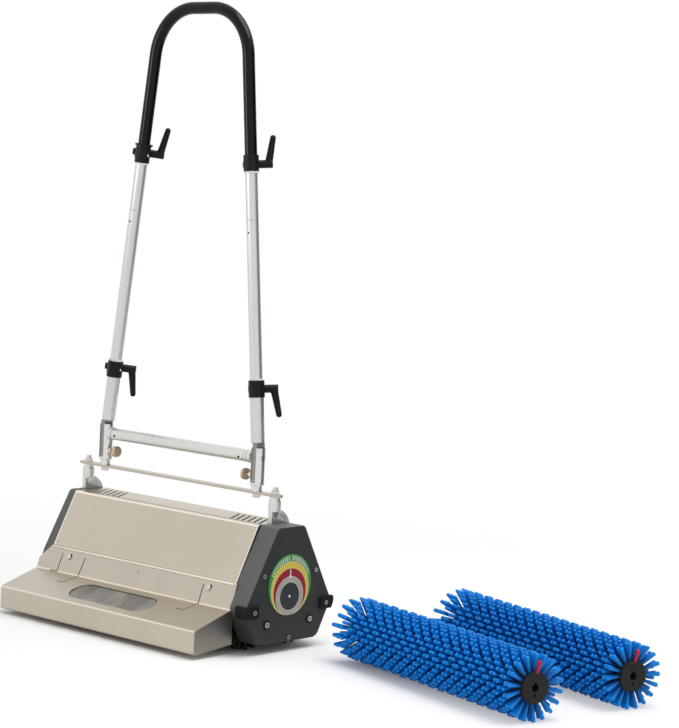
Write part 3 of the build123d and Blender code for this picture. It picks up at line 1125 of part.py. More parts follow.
nodes["lower_right_lever"] = lever(LOWER_PLACES[1], EAR_BACKS[1], -1, LOWER_SPLAY)
nodes["upper_left_lever"] = lever(UPPER_PLACES[0], EAR_BACKS[0], 1, UPPER_SPLAY)
nodes["upper_right_lever"] = lever(UPPER_PLACES[1], EAR_BACKS[1], 1, UPPER_SPLAY)

# Files
os.makedirs("parts", exist_ok=True)
for name, shape in nodes.items():
    export_step(shape, f"parts/{name}.step")
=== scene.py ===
"""Looks of the brush scrubber: finishes, tufted brushes, small hardware, light and camera."""

import math
import random

import bpy
from mathutils import Matrix, Vector


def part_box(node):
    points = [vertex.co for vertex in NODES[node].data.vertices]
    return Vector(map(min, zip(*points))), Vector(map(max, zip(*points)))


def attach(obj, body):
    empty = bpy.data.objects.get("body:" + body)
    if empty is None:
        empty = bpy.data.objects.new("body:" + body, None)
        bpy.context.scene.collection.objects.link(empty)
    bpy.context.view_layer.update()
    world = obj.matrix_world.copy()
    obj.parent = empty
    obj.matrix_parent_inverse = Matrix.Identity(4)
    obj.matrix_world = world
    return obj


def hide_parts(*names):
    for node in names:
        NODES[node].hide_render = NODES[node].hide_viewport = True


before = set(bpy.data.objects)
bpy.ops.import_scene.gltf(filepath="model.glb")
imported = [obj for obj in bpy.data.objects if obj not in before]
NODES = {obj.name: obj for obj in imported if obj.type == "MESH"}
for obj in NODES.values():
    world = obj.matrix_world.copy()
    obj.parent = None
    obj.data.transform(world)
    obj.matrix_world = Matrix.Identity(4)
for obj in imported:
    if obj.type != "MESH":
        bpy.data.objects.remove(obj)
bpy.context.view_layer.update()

MM = 0.001
ORIGIN = (0.0, 0.0, 0.0)


# Shader maths
MIX_FIRST, MIX_SECOND, MIX_RESULT = 6, 7, 2


class Value:
    """One output of a shader node; arithmetic on it adds Math nodes to the same finish."""

    def __init__(self, finish, socket):
        self.finish = finish
        self.socket = socket

    def maths(self, operation, first, second):
        return self.finish.node("ShaderNodeMath", {"operation": operation}, {0: first, 1: second})

    def __add__(self, other):
        return self.maths("ADD", self, other)

    __radd__ = __add__

    def __sub__(self, other):
        return self.maths("SUBTRACT", self, other)

    def __rsub__(self, other):
        return self.maths("SUBTRACT", other, self)

    def __mul__(self, other):
        return self.maths("MULTIPLY", self, other)

    __rmul__ = __mul__

    def __truediv__(self, other):
        return self.maths("DIVIDE", self, other)

    def __pow__(self, other):
        return self.maths("POWER", self, other)

    def __mod__(self, other):
        return self.maths("FLOORED_MODULO", self, other)

    def __lt__(self, other):
        return self.maths("LESS_THAN", self, other)

    def __gt__(self, other):
        return self.maths("GREATER_THAN", self, other)

    def __abs__(self):
        return self.maths("ABSOLUTE", self, 0.0)

    def larger(self, other):
        return self.maths("MAXIMUM", self, other)


def distance(across, up):
    """Length of a step across and up."""
    return (across ** 2 + up ** 2) ** 0.5


class Finish:
    """One material with its node tree and its Principled shader."""

    def __init__(self, name, colour, roughness, metallic=0.0, **fixed):
        self.material = bpy.data.materials.new(name)
        self.material.use_nodes = True
        self.tree = self.material.node_tree
        self.shader = self.tree.nodes["Principled BSDF"]
        fixed.update({"Base Color": colour, "Roughness": roughness, "Metallic": metallic})
        for socket, value in fixed.items():
            self.set(socket.replace("_", " "), value)

    def feed(self, socket, value):
        """Links a value to a socket, or sets the socket to a plain number or colour."""
        if isinstance(value, Value):
            self.tree.links.new(value.socket, socket)
        else:
            socket.default_value = value

    def set(self, name, value):
        """Feeds one of the shader's sockets."""
        self.feed(self.shader.inputs[name], value)

    def node(self, kind, settings, inputs, output=0):
        """Adds a node: its settings first, a ramp's stops among them, then its sockets."""
        made = self.tree.nodes.new(kind)
        for name, setting in settings.items():
            if name == "stops":
                while len(made.color_ramp.elements) < len(setting):
                    made.color_ramp.elements.new(1.0)
                for element, (place, colour) in zip(made.color_ramp.elements, setting):
                    element.position = place
                    element.color = colour
            else:
                setattr(made, name, setting)
        for socket, value in inputs.items():
            self.feed(made.inputs[socket], value)
        return Value(self, made.outputs[output])

    def place(self):
        """Object coordinates, as a vector."""
        return self.node("ShaderNodeTexCoord", {}, {}, "Object")

    def axes(self):
        """Object coordinates as three values."""
        split = self.node("ShaderNodeSeparateXYZ", {}, {0: self.place()})
        return [Value(self, socket) for socket in split.socket.node.outputs]

    def grain(self, stretch, detail=2.0):
        """Noise around 0.5; stretch gives the cycles per metre along X, Y and Z."""
        spot = self.node("ShaderNodeMapping", {}, {"Vector": self.place(), "Scale": stretch})
        return self.node("ShaderNodeTexNoise", {}, {"Vector": spot, "Scale": 1.0, "Detail": detail})

    def attribute(self, name):
        """A number that the mesh carries at its points."""
        return self.node("ShaderNodeAttribute", {"attribute_name": name}, {}, "Fac")

    def ramp(self, value, *stops):
        """Colour ramp through (place, colour) stops."""
        return self.node("ShaderNodeValToRGB", {"stops": stops}, {0: value})

    def mix(self, share, first, second):
        """First colour where share is 0, second where it is 1."""
        inputs = {"Factor": share, MIX_FIRST: first, MIX_SECOND: second}
        return self.node("ShaderNodeMix", {"data_type": "RGBA"}, inputs, MIX_RESULT)

    def relief(self, height, depth):
        """Bump from a height, its depth given in millimetres."""
        inputs = {"Height": height, "Distance": depth * MM, "Strength": 1.0}
        self.set("Normal", self.node("ShaderNodeBump", {}, inputs))

    def roughness(self, low, spread, noise):
        """Roughness from low to low plus spread, as the noise goes from 0 to 1."""
        self.set("Roughness", low + spread * noise)


def tint(red, green, blue):
    """Linear colour from screen values between 0 and 255."""
    parts = []
    for part in (red / 255, green / 255, blue / 255):
        parts.append(part / 12.92 if part <= 0.04045 else ((part + 0.055) / 1.055) ** 2.4)
    return (*parts, 1.0)


def shaded(colour, share):
    """The colour made lighter or darker."""
    return tuple(min(1.0, part * share) for part in colour[:3]) + (1.0,)


def shades(colour, steps):
    """Ramp stops of one colour, from steps given as place and lightness."""
    return [(place, shaded(colour, share)) for place, share in steps]


def middle(low, high):
    return (low + high) / 2


# Brushed, coated and polished finishes
METAL = 1.0
BRUSHED_CYCLES = (9.0,) * 3
BRUSHED_STEPS = ((0.25, 0.9), (0.75, 1.08))
STREAK_SHARE = 0.6
COATED_CYCLES = (14.0,) * 3
COATED_STEPS = ((0.3, 0.86), (0.7, 1.16))
COATED_VARY = 0.2
POLISHED_CYCLES = (420.0,) * 3
POLISHED_STEPS = ((0.3, 0.88), (0.7, 1.06))
POLISHED_VARY = 0.16
PLAIN_DETAIL = 1.0
FINE_DETAIL = 3.0


def brushed(name, colour, stretch, roughness=0.34, depth=0.02, vary=0.24, painted_light_lines=(), marks_and_painted_light=(), change=None):
    """Brushed along the axis with the fewest cycles; lines along X are painted highlights and painted shade,
    and marks on the front are scribed lines, painted shade in holes and painted highlights on edges.
    """
    finish = Finish(name, colour, roughness, METAL)
    x, y, z = finish.axes()
    streaks = finish.grain(stretch, FINE_DETAIL)
    clouds = finish.grain(BRUSHED_CYCLES)
    tone = STREAK_SHARE * streaks + (1.0 - STREAK_SHARE) * clouds
    paint = finish.ramp(tone, *shades(colour, BRUSHED_STEPS))
    for across, up, size, share in painted_light_lines:
        near = distance(y - across * MM, z - up * MM) < size * MM
        paint = finish.mix(near, paint, shaded(colour, share))
    if change:
        paint = change(finish, paint)
    for along, up, half_width, half_height, share in marks_and_painted_light:
        near = (abs(x - along * MM) < half_width * MM) * (abs(z - up * MM) < half_height * MM)
        paint = finish.mix(near * (y < 0.0), paint, shaded(colour, share))
    finish.set("Base Color", paint)
    finish.roughness(roughness - vary / 2, vary, streaks)
    finish.relief(streaks, depth)
    return finish.material


def coated(name, colour, grain, roughness, depth, gloss=0.2):
    """Moulded or painted skin; the grain's size and depth are in millimetres."""
    finish = Finish(name, colour, roughness, Specular_IOR_Level=gloss)
    fine = finish.grain((1 / (grain * MM),) * 3)
    clouds = finish.grain(COATED_CYCLES, FINE_DETAIL)
    finish.set("Base Color", finish.ramp(clouds, *shades(colour, COATED_STEPS)))
    finish.roughness(roughness - COATED_VARY / 2, COATED_VARY, middle(clouds, fine))
    finish.relief(fine, depth)
    return finish.material


def polished(name, colour, roughness, waves=60.0, depth=0.2):
    """Cast or turned metal with a slightly uneven polish, in waves per metre."""
    finish = Finish(name, colour, roughness, METAL)
    swell = finish.grain((waves,) * 3, PLAIN_DETAIL)
    dust = finish.grain(POLISHED_CYCLES, FINE_DETAIL)
    finish.set("Base Color", finish.ramp(dust, *shades(colour, POLISHED_STEPS)))
    finish.roughness(roughness - POLISHED_VARY / 2, POLISHED_VARY, dust)
    finish.relief(swell, depth)
    return finish.material


# Sheet steel: a line of painted highlight or painted shade is Y, Z, size and lightness, a spot X, Z, half
# sizes and lightness, in millimetres
SHEET_TINT = tint(199, 190, 176)
SHEET_GRAIN = (7.0, 760.0, 760.0)
# Cover: painted highlight along the top front edge, painted shade in the step behind it, and painted shade
# along the panel's bottom where the tray's hem meets it
COVER_LIGHT_AND_SHADE_LINES = ((-35.0, 196.6, 2.2, 1.6), (-27.5, 198.0, 3.0, 0.45), (-81.0, 110.0, 1.5, 0.6))
# Painted highlights along the left and right edges of the front panel
COVER_EDGE_HIGHLIGHTS = ((204.9, 152.0, 1.0, 44.0, 1.55), (-222.8, 152.0, 1.2, 44.0, 1.55))
VENT_RIM = 197.95 * MM
VENT_FLOOR = 196.3 * MM
VENT_HALF = 26.0 * MM
VENT_TINT = tint(214, 208, 196)
TRAY_FOLD = (-94.4, 69.5)
# Tray: painted highlights along the fold and the top of the front lip, painted shade along the bottom of the
# front
TRAY_LIGHT_AND_SHADE_LINES = ((*TRAY_FOLD, 1.7, 1.5), (-170.0, 44.9, 1.6, 1.5), (-170.0, 7.0, 1.2, 0.7))
TRAY_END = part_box("catch_tray")[1].x - 0.9 * MM
BACK_LEAN = math.radians(17.5)
TOP_SLOPE = math.radians(18.0)
TRAY_SHADE = 0.95
TRAY_END_SHADOW = 0.52

# Slits in the tray, with painted shade along them: X and the distance up or down from the fold, in
# millimetres
SLIT_HALF = 0.95 * MM
SLIT_SHADOW = 0.16
SLITS = (
    ((-193.5, 31.0), (-196.9, 0.0), (-214.0, 0.0)),
    ((-138.5, 31.0), (-144.0, 0.0), (-151.0, -27.0), (-164.0, -27.6)),
    ((140.0, 31.0), (139.0, 0.0), (131.7, -27.0), (118.0, -27.6)),
)


def vent_edges(finish, paint):
    """Matt cut edges inside the vents."""
    y, z = finish.axes()[1:]
    wall = (z > VENT_FLOOR) * (z < VENT_RIM) * (abs(y) < VENT_HALF)
    finish.set("Metallic", METAL - wall)
    return finish.mix(wall, paint, VENT_TINT)


def slit_and_end_shadows(finish, paint):
    """Painted shade along the slits, and painted shade on the end wall."""
    x, y, z = finish.axes()
    above = z > TRAY_FOLD[1] * MM
    back = (z - TRAY_FOLD[1] * MM) / math.cos(BACK_LEAN)
    top = (y - TRAY_FOLD[0] * MM) / math.cos(TOP_SLOPE)
    along = above * back + (1.0 - above) * top
    for path in SLITS:
        for start, end in zip(path, path[1:]):
            run_x, run_v = (end[0] - start[0]) * MM, (end[1] - start[1]) * MM
            from_x, from_v = x - start[0] * MM, along - start[1] * MM
            share = (from_x * run_x + from_v * run_v) / (run_x ** 2 + run_v ** 2)
            share = finish.node("ShaderNodeClamp", {}, {0: share})
            gap = distance(from_x - share * run_x, from_v - share * run_v)
            paint = finish.mix(gap < SLIT_HALF, paint, shaded(SHEET_TINT, SLIT_SHADOW))
    return finish.mix(x > TRAY_END, paint, shaded(SHEET_TINT, TRAY_END_SHADOW))


COVER_STEEL = brushed("cover_stainless", SHEET_TINT, SHEET_GRAIN, painted_light_lines=COVER_LIGHT_AND_SHADE_LINES, marks_and_painted_light=COVER_EDGE_HIGHLIGHTS,
                      change=vent_edges)
TRAY_STEEL = brushed("tray_stainless", shaded(SHEET_TINT, TRAY_SHADE), SHEET_GRAIN, painted_light_lines=TRAY_LIGHT_AND_SHADE_LINES,
                     change=slit_and_end_shadows)
# Painted highlight: the hem's steel is a lighter copy of the sheet, for the light along the roll
HEM_HIGHLIGHT_STEEL = brushed("rolled_hem", tint(236, 228, 214), SHEET_GRAIN, roughness=0.26)
TIE_STEEL = brushed("tie_bar_steel", tint(188, 180, 166), (12.0, 900.0, 900.0), roughness=0.3)
SATIN = brushed("satin_foot", tint(150, 150, 147), (60.0, 60.0, 60.0), roughness=0.5)
PLATE_STEEL = brushed("zinc_plate", tint(150, 152, 152), (40.0, 60.0, 60.0), roughness=0.42)

# Anodised tubes, with scribed lines and painted shade for drilled holes
ANODISED = {"depth": 0.002, "vary": 0.06}
TUBE_LINES_AND_HOLE_SHADOWS = (
    (-148.5, 674.0, 7.0, 0.5, 0.5), (127.8, 671.0, 7.0, 0.5, 0.5),
    (-151.3, 655.0, 1.6, 1.6, 0.06), (124.5, 650.3, 1.6, 1.6, 0.06),
)
BAR_SPOTS = ((-171.4, 297.5, 0.6, 8.5, 0.5), (138.9, 297.5, 0.6, 8.5, 0.55), (146.6, 297.5, 0.6, 8.5, 0.5))
TUBE = brushed("anodised_tube", tint(212, 212, 209), (700.0, 700.0, 9.0), roughness=0.4,
               marks_and_painted_light=TUBE_LINES_AND_HOLE_SHADOWS, **ANODISED)
CROSS_TUBE = brushed("anodised_crossbar", tint(218, 218, 215), (9.0, 700.0, 700.0), roughness=0.36,
                     marks_and_painted_light=BAR_SPOTS, **ANODISED)

# Castings, screws, mouldings and paint
TURNED_DEPTH = 0.03
CAST = polished("polished_casting", tint(222, 222, 219), roughness=0.2)
ARM_CAST = polished("tumbled_casting", tint(218, 218, 214), roughness=0.38)
SCREW = polished("bright_screw", tint(205, 203, 198), roughness=0.22, waves=300.0, depth=TURNED_DEPTH)
DARK_SCREW = polished("dark_screw", tint(58, 57, 54), roughness=0.35, waves=300.0, depth=TURNED_DEPTH)
CHAMPAGNE = polished("champagne_knob", tint(206, 186, 166), roughness=0.3, waves=240.0, depth=TURNED_DEPTH)
RUBBER = coated("black_rubber", tint(20, 20, 20), grain=1.2, roughness=0.6, depth=0.06)
PLASTIC = coated("black_moulding", tint(16, 16, 16), grain=0.8, roughness=0.4, depth=0.04)
BOW_BLACK = coated("black_enamel", tint(7, 7, 7), grain=20.0, roughness=0.16, depth=0.03)
HUB_BLACK = coated("brush_hub", tint(33, 32, 29), grain=1.5, roughness=0.6, depth=0.1)
RED_SWITCH = coated("red_switch", tint(190, 36, 34), grain=1.6, roughness=0.3, depth=0.03, gloss=0.5)
MOTOR = coated("motor_enamel", tint(52, 54, 57), grain=1.4, roughness=0.4, depth=0.08, gloss=0.3)
NYLON_WHITE = coated("white_bush", tint(236, 236, 232), grain=1.0, roughness=0.45, depth=0.03, gloss=0.4)
GEAR = coated("gear_nylon", tint(224, 219, 206), grain=1.0, roughness=0.45, depth=0.03, gloss=0.4)


# Heads on the end cover: Y, Z, socket radius and ring radius, in millimetres
SOCKET_TINT = tint(214, 212, 206)
SOCKET_SHADOW = 0.12
SOCKET_END = 240.0 * MM
HEAD_LIMIT = 2.0
SCUFF_CYCLES = (700.0,) * 3
SCUFF_SHADE = 0.72
SOCKET_SITES = (
    (-58.5, 124.5, 2.0, 3.2), (58.5, 124.5, 1.7, 3.6), (2.0, 23.0, 2.2, 3.0), (-81.0, 70.5, 2.2, 3.4),
    (81.0, 70.5, 2.2, 3.4), (-48.5, 47.5, 1.9, 4.6), (48.5, 47.5, 1.9, 4.6),
)


def socket_finish():
    """Bright ring of the head at each site, on the outer ends of screws and spindles, with painted shade in
    the socket and in a ring around the head.
    """
    finish = Finish("socket_head", SOCKET_TINT, roughness=0.45, metallic=0.7)
    x, y, z = finish.axes()
    scuffs = finish.grain(SCUFF_CYCLES, FINE_DETAIL)
    paint = finish.mix(scuffs, shaded(SOCKET_TINT, SCUFF_SHADE), SOCKET_TINT)
    for across, up, socket, ring in SOCKET_SITES:
        gap = distance(y - across * MM, z - up * MM)
        outside = (gap > ring * MM) * (gap < HEAD_LIMIT * ring * MM)
        # Painted shade in the socket and in a ring around the head
        dark = (outside + (gap < socket * MM)) * (x > SOCKET_END)
        paint = finish.mix(dark, paint, shaded(SOCKET_TINT, SOCKET_SHADOW))
    finish.set("Base Color", paint)
    finish.roughness(low=0.36, spread=0.2, noise=scuffs)
    finish.relief(scuffs, depth=0.03)
    return finish.material


# Powder coat on the end covers, with painted shade on the end face and towards the floor
POWDER_CYCLES = (1100.0,) * 3
COVER_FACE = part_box("right_end_cover")[1].x - 0.6 * MM
COVER_SHADE_START_Z = 76.0 * MM
COVER_SHADE_FULL_Z = 60.0 * MM


def cover_finish():
    """Grey skin, with painted shade: darker on the flat end face and towards the floor."""
    finish = Finish("grey_powder_coat", tint(96, 100, 98), roughness=0.5, Specular_IOR_Level=0.25)
    x, y, z = finish.axes()
    fine = finish.grain(POWDER_CYCLES)
    clouds = finish.grain(COATED_CYCLES, FINE_DETAIL)
    shell = finish.mix(clouds, tint(90, 94, 92), tint(102, 106, 104))
    # Painted shade: the flat end face is darker than the shell
    face = finish.mix(clouds, tint(48, 49, 47), tint(56, 57, 55))
    # Painted shade on the shell towards the floor
    fade = {"Value": z, "From Min": COVER_SHADE_START_Z, "From Max": COVER_SHADE_FULL_Z}
    shell = finish.mix(finish.node("ShaderNodeMapRange", {}, fade), shell, tint(52, 53, 51))
    finish.set("Base Color", finish.mix(x > COVER_FACE, shell, face))
    finish.roughness(low=0.42, spread=0.2, noise=middle(clouds, fine))
    finish.relief(fine, depth=0.06)
    return finish.material


# Window in the tray
PANE_CYCLES = (30.0, 9.0, 30.0)
PANE_DETAIL = 4.0
PANE_STEPS = ((0.35, tint(132, 129, 123)), (0.65, tint(164, 161, 155)))
PANE_STRAIGHT_HALF = 68.0 * MM
PANE_SHADOW_RIM = 23.6 * MM
PANE_ALPHA = 0.5
PANE_CLOUDING = 0.3


def window_finish():
    """Clear pane with faint lighter and darker streaks, and painted shade in a dark line along its edge."""
    finish = Finish("clear_pane", tint(150, 147, 141), roughness=0.1, Alpha=0.6)
    x, y, z = finish.axes()
    centre = middle(*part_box("tray_window"))
    streaks = finish.grain(PANE_CYCLES, PANE_DETAIL)
    beyond = (abs(x - centre.x) - PANE_STRAIGHT_HALF).larger(0.0)
    down = distance(y - centre.y, z - centre.z)
    # Painted shade: a dark line along the edge of the opening
    edge = distance(beyond, down) > PANE_SHADOW_RIM
    finish.set("Base Color", finish.mix(edge, finish.ramp(streaks, *PANE_STEPS), tint(34, 33, 31)))
    finish.set("Alpha", PANE_ALPHA + PANE_CLOUDING * streaks)
    finish.roughness(low=0.05, spread=0.16, noise=streaks)
    return finish.material


# Printed dial: a ring is its drop below the middle, radius and tint; ticks are set out in radians
DIAL_Z = middle(*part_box("dial_plate")).z
DIAL_CYCLES = (160.0,) * 3
DIAL_WHITE = tint(238, 238, 232)
DIAL_LINE = 0.7
DIAL_LINE_TINT = tint(226, 220, 170)
DIAL_RINGS = (
    (6.0, 42.0, tint(216, 192, 72)),
    (11.2, 37.0, tint(152, 34, 36)),
    (17.9, 30.3, tint(170, 166, 162)),
    (18.3, 22.0, tint(56, 56, 56)),
)
TICK_PITCH = 0.105
TICK_WIDTH = 0.036
TICK_PHASE = 0.025
TICK_SPAN = 1.25
TICK_GAP = 0.06
TICK_OUTER = 45.6
TICK_INNER = 43.9
POINTER_HALF = 0.9
POINTER_FOOT = 13.0
POINTER_TIP = 24.5
BEAD_RADIUS = 2.3
DOT_RADIUS = 2.2


def dial_finish():
    """Rings that touch at the bottom, a scale of ticks, a pointer and a dot."""
    finish = Finish("printed_dial", tint(67, 140, 60), roughness=0.32, Coat_Weight=0.25)
    x, y, z = finish.axes()
    up = z - DIAL_Z

    def inside(drop, radius):
        return distance(y, up + drop * MM) < radius * MM

    wear = finish.grain(DIAL_CYCLES, FINE_DETAIL)
    paint = finish.mix(wear, tint(58, 130, 52), tint(78, 150, 70))
    turn = y.maths("ARCTAN2", y, up)
    tick = ((turn + TICK_PHASE) % TICK_PITCH < TICK_WIDTH) * (abs(turn) < TICK_SPAN) * (abs(turn) > TICK_GAP)
    band = inside(0.0, TICK_OUTER) * (1.0 - inside(DIAL_RINGS[0][0], TICK_INNER))
    paint = finish.mix(tick * band, paint, DIAL_WHITE)
    for drop, radius, ring_tint in DIAL_RINGS:
        paint = finish.mix(inside(drop, radius + DIAL_LINE), paint, DIAL_LINE_TINT)
        paint = finish.mix(inside(drop, radius), paint, ring_tint)
    pointer = (abs(y) < POINTER_HALF * MM) * (up > POINTER_FOOT * MM) * (up < POINTER_TIP * MM)
    bead = inside(-POINTER_FOOT, BEAD_RADIUS)
    dot = inside(DIAL_RINGS[-1][0], DOT_RADIUS)
    for mark in (pointer, bead, dot):
        paint = finish.mix(mark, paint, DIAL_WHITE)
    finish.set("Base Color", paint)
    finish.roughness(low=0.24, spread=0.16, noise=wear)
    return finish.material


# Nylon of the bristles
TONE_SHARE = 0.22
TONE_LIGHT = 1.35
SPECKLE_CYCLES = (900.0,) * 3
SPECKLE_SHARE = 0.18
SPECKLE_DARK = 0.7


def bristle_finish(name, root, tip):
    """Filament with painted shade, darker towards the root among the other filaments; the tone attribute
    differs from one filament to the next.
    """
    finish = Finish(name, tip, roughness=0.42, Specular_IOR_Level=0.2)
    speckle = finish.grain(SPECKLE_CYCLES)
    # Painted shade: the root tint deep in the brush, the tip tint at the ends
    paint = finish.mix(finish.attribute("rise"), root, tip)
    paint = finish.mix(TONE_SHARE * finish.attribute("tone"), paint, shaded(tip, TONE_LIGHT))
    paint = finish.mix(SPECKLE_SHARE * speckle, paint, shaded(root, SPECKLE_DARK))
    finish.set("Base Color", paint)
    finish.roughness(low=0.34, spread=0.2, noise=speckle)
    return finish.material


SOCKET = socket_finish()
GREY_COVER = cover_finish()
PANE = window_finish()
DIAL = dial_finish()
BLUE = bristle_finish("blue_bristle", tint(1, 46, 116), tint(3, 142, 238))
BLACK_NYLON = bristle_finish("black_bristle", tint(8, 8, 8), tint(24, 24, 25))
RED = bristle_finish("red_marker_bristle", tint(130, 14, 30), tint(198, 34, 54))

# Finish of each CAD node
NODE_FINISHES = (
    (COVER_STEEL, ["main_cover"]),
    (TRAY_STEEL, ["catch_tray"]),
    (GREY_COVER, ["right_end_cover", "left_end_cover"]),
    (DIAL, ["dial_plate"]),
    (PANE, ["tray_window"]),
    (SOCKET, ["cover_screws", "front_spindle", "rear_spindle"]),
    (SCREW, ["tray_screws", "tie_bar_bolts", "fold_pins", "idle_stubs", "handle_pivot_pins", "idler_pins",
             "spindle_bearings"]),
    (RUBBER, ["corner_bumpers", "drive_belt", "spindle_bushes"]),
    (PLASTIC, ["switch_bezel", "cable_gland", "lower_collars", "upper_collars", "lower_left_lever",
               "lower_right_lever", "upper_left_lever", "upper_right_lever"]),
    (RED_SWITCH, ["switch_rocker"]),
    (HUB_BLACK, ["front_brush_core", "rear_brush_core", "loose_front_core", "loose_rear_core"]),
    (BLACK_NYLON, ["front_brush_bristles", "rear_brush_bristles"]),
    (BLUE, ["loose_front_bristles", "loose_rear_bristles"]),
    (PLATE_STEEL, ["left_side_plate", "right_side_plate", "cross_rails", "motor_mount", "motor_rotor"]),
    (MOTOR, ["motor_can"]),
    (GEAR, ["front_gear", "rear_gear", "front_idler_gear", "rear_idler_gear", "driven_pulley",
            "motor_pulley"]),
    (ARM_CAST, ["left_pivot_arm", "right_pivot_arm"]),
    (CAST, ["left_fork", "right_fork"]),
    (TIE_STEEL, ["tie_bar"]),
    (SATIN, ["leg_feet"]),
    (TUBE, ["lower_tubes", "middle_tubes"]),
    (CROSS_TUBE, ["crossbar"]),
    (CHAMPAGNE, ["left_plunger", "right_plunger"]),
    (BOW_BLACK, ["bow_handle"]),
)


def paint_piece(piece, finish):
    """Gives a piece one finish and no other."""
    piece.data.materials.clear()
    piece.data.materials.append(finish)


for node_finish, node_names in NODE_FINISHES:
    for node_name in node_names:
        paint_piece(NODES[node_name], node_finish)


# Mesh tools
UP = Vector((0.0, 0.0, 1.0))
FACING = 0.9


def added(operator, **settings):
    """A new mesh primitive, the only piece selected."""
    bpy.ops.object.select_all(action="DESELECT")
    operator(**settings)
    return bpy.context.object


def start_edit():
    """Opens the active piece for editing with nothing selected."""
    bpy.ops.object.mode_set(mode="EDIT")
    bpy.ops.mesh.select_mode(type="FACE")
    bpy.ops.mesh.select_all(action="DESELECT")


def pick_faces(piece, test):
    """Selects the faces whose normal passes the test."""
    bpy.ops.object.mode_set(mode="OBJECT")
    for face in piece.data.polygons:
        face.select = test(face.normal)
    bpy.ops.object.mode_set(mode="EDIT")


def extrude(step):
    bpy.ops.mesh.extrude_region_move(TRANSFORM_OT_translate={"value": step})


def resize(shares, centre=ORIGIN):
    bpy.ops.transform.resize(value=shares, center_override=centre)


def end_edit():
    bpy.ops.object.mode_set(mode="OBJECT")


def smooth(degrees):
    """Smooth shading across every edge flatter than an angle."""
    bpy.ops.object.shade_smooth_by_angle(angle=math.radians(degrees))


def pointing(direction):
    """Turn that lays the Z axis along a direction."""
    return UP.rotation_difference(Vector(direction)).to_matrix().to_4x4()


def twin(piece, name, matrix):
    """A copy with its own mesh, moved in its mesh."""
    copy = bpy.data.objects.new(name, piece.data.copy())
    bpy.context.scene.collection.objects.link(copy)
    copy.data.transform(matrix)
    return copy


def join(pieces, name):
    """Makes one piece of several."""
    bpy.ops.object.select_all(action="DESELECT")
    for piece in pieces:
        piece.select_set(True)
    bpy.context.view_layer.objects.active = pieces[0]
    bpy.ops.object.join()
    pieces[0].name = name
    pieces[0].data.name = name
    return pieces[0]


def discard(piece):
    bpy.data.meshes.remove(piece.data)


def carry(piece, name, values):
    """Gives a piece a number at each of its points."""
    layer = piece.data.attributes.new(name, "FLOAT", "POINT")
    layer.data.foreach_set("value", values)


def dress(piece, finish, body, slot, *nodes):
    """Gives a piece its finish and its body, and hides the nodes it stands for; the record slot is not used.
    """
    paint_piece(piece, finish)
    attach(piece, body)
    if nodes:
        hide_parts(*nodes)


# Bristles
CORE_LOW, CORE_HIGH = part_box("front_brush_core")
CORE_RADIUS = (CORE_HIGH.z - CORE_LOW.z) / 2
ROOT_RADIUS = CORE_RADIUS - 2.0 * MM
SLEEVE_LOW, SLEEVE_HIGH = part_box("front_brush_bristles")
BRUSH_LENGTH = SLEEVE_HIGH.x - SLEEVE_LOW.x
STRAND_ROOT = 1.8 * MM
STRAND_TIP = 2.75 * MM
STRAND_SIDES = 8
STRAND_SHANK = 0.93
STRAND_DOME = ((0.04, 0.9), (0.03, 0.6))
STRAND_SMOOTH = 75.0
STRAND_HEIGHTS = (0.965, 1.0)
ROOT_SPREAD = 0.35
TIP_SHAKE = 0.3 * MM
TUFT_KINDS = 8
TUFT_COLUMNS = 18
TUFT_ROWS = 36
TUFT_SHAKE = 0.25 * MM
ROW_SHAKE = 0.03
WIDE_EVERY = 3
CLOSE_REACH = 3.2 * MM
WIDE_REACH = 4.5 * MM
PLAIN_WIDTH = 1.0
END_WIDTH = 1.2
END_INSET = 7.0 * MM
NEAR_SPLAY = 3.0 * MM
FAR_SPLAY = 27.0 * MM
SPLAY_FADE = 0.6
OUTER_FANS = (0.9, 0.4)
INNER_FANS = (0.8,)
FAN_SHAKE = (0.8, 1.15)
PAIR_ROWS = 5
LOOSE_TURNS = {"loose_front": -14.73, "loose_rear": -16.25}
MARKER_RADIUS = 3.1 * MM
MARKER_SHARE = 0.66
MARKER_STAND = 1.5 * MM
MARKER_SINK = 1.0 * MM
MARKER_LEAN = math.radians(17.0)
MARKER_TONE = 0.8
shake = random.Random(11)


def strand(length):
    """One bundle of nylon standing on the origin along Z, wider at the top, with a rounded tip."""
    height = STRAND_SHANK * length
    piece = added(bpy.ops.mesh.primitive_cone_add, vertices=STRAND_SIDES, radius1=STRAND_ROOT,
                  radius2=STRAND_TIP, depth=height, location=(0.0, 0.0, height / 2))
    bpy.ops.object.transform_apply(location=True, rotation=True, scale=True)
    start_edit()
    pick_faces(piece, lambda normal: normal.z > FACING)
    for rise, share in STRAND_DOME:
        height += rise * length
        extrude((0.0, 0.0, rise * length))
        resize((share, share, 1.0), (0.0, 0.0, height))
    end_edit()
    smooth(STRAND_SMOOTH)
    return piece


def lean(along, around, length, share):
    """Matrix that stands a strand on the core with its tip moved along and around the brush."""
    root = Matrix.Translation((ROOT_SPREAD * along, ROOT_SPREAD * around, ROOT_RADIUS))
    return root @ pointing((along, around, length)) @ Matrix.Diagonal((1.0, 1.0, share, 1.0))


def tuft(single, length, reach, width):
    """Two strands side by side along the brush, at a reach from the middle of the tuft."""
    strands = []
    for side in (-1, 1):
        along = side * reach + shake.uniform(-TIP_SHAKE, TIP_SHAKE)
        around = shake.uniform(-TIP_SHAKE, TIP_SHAKE)
        matrix = lean(along, around, length, shake.uniform(*STRAND_HEIGHTS))
        strands.append(twin(single, "strand", matrix @ Matrix.Diagonal((1.0, width, 1.0, 1.0))))
    return join(strands, "tuft")


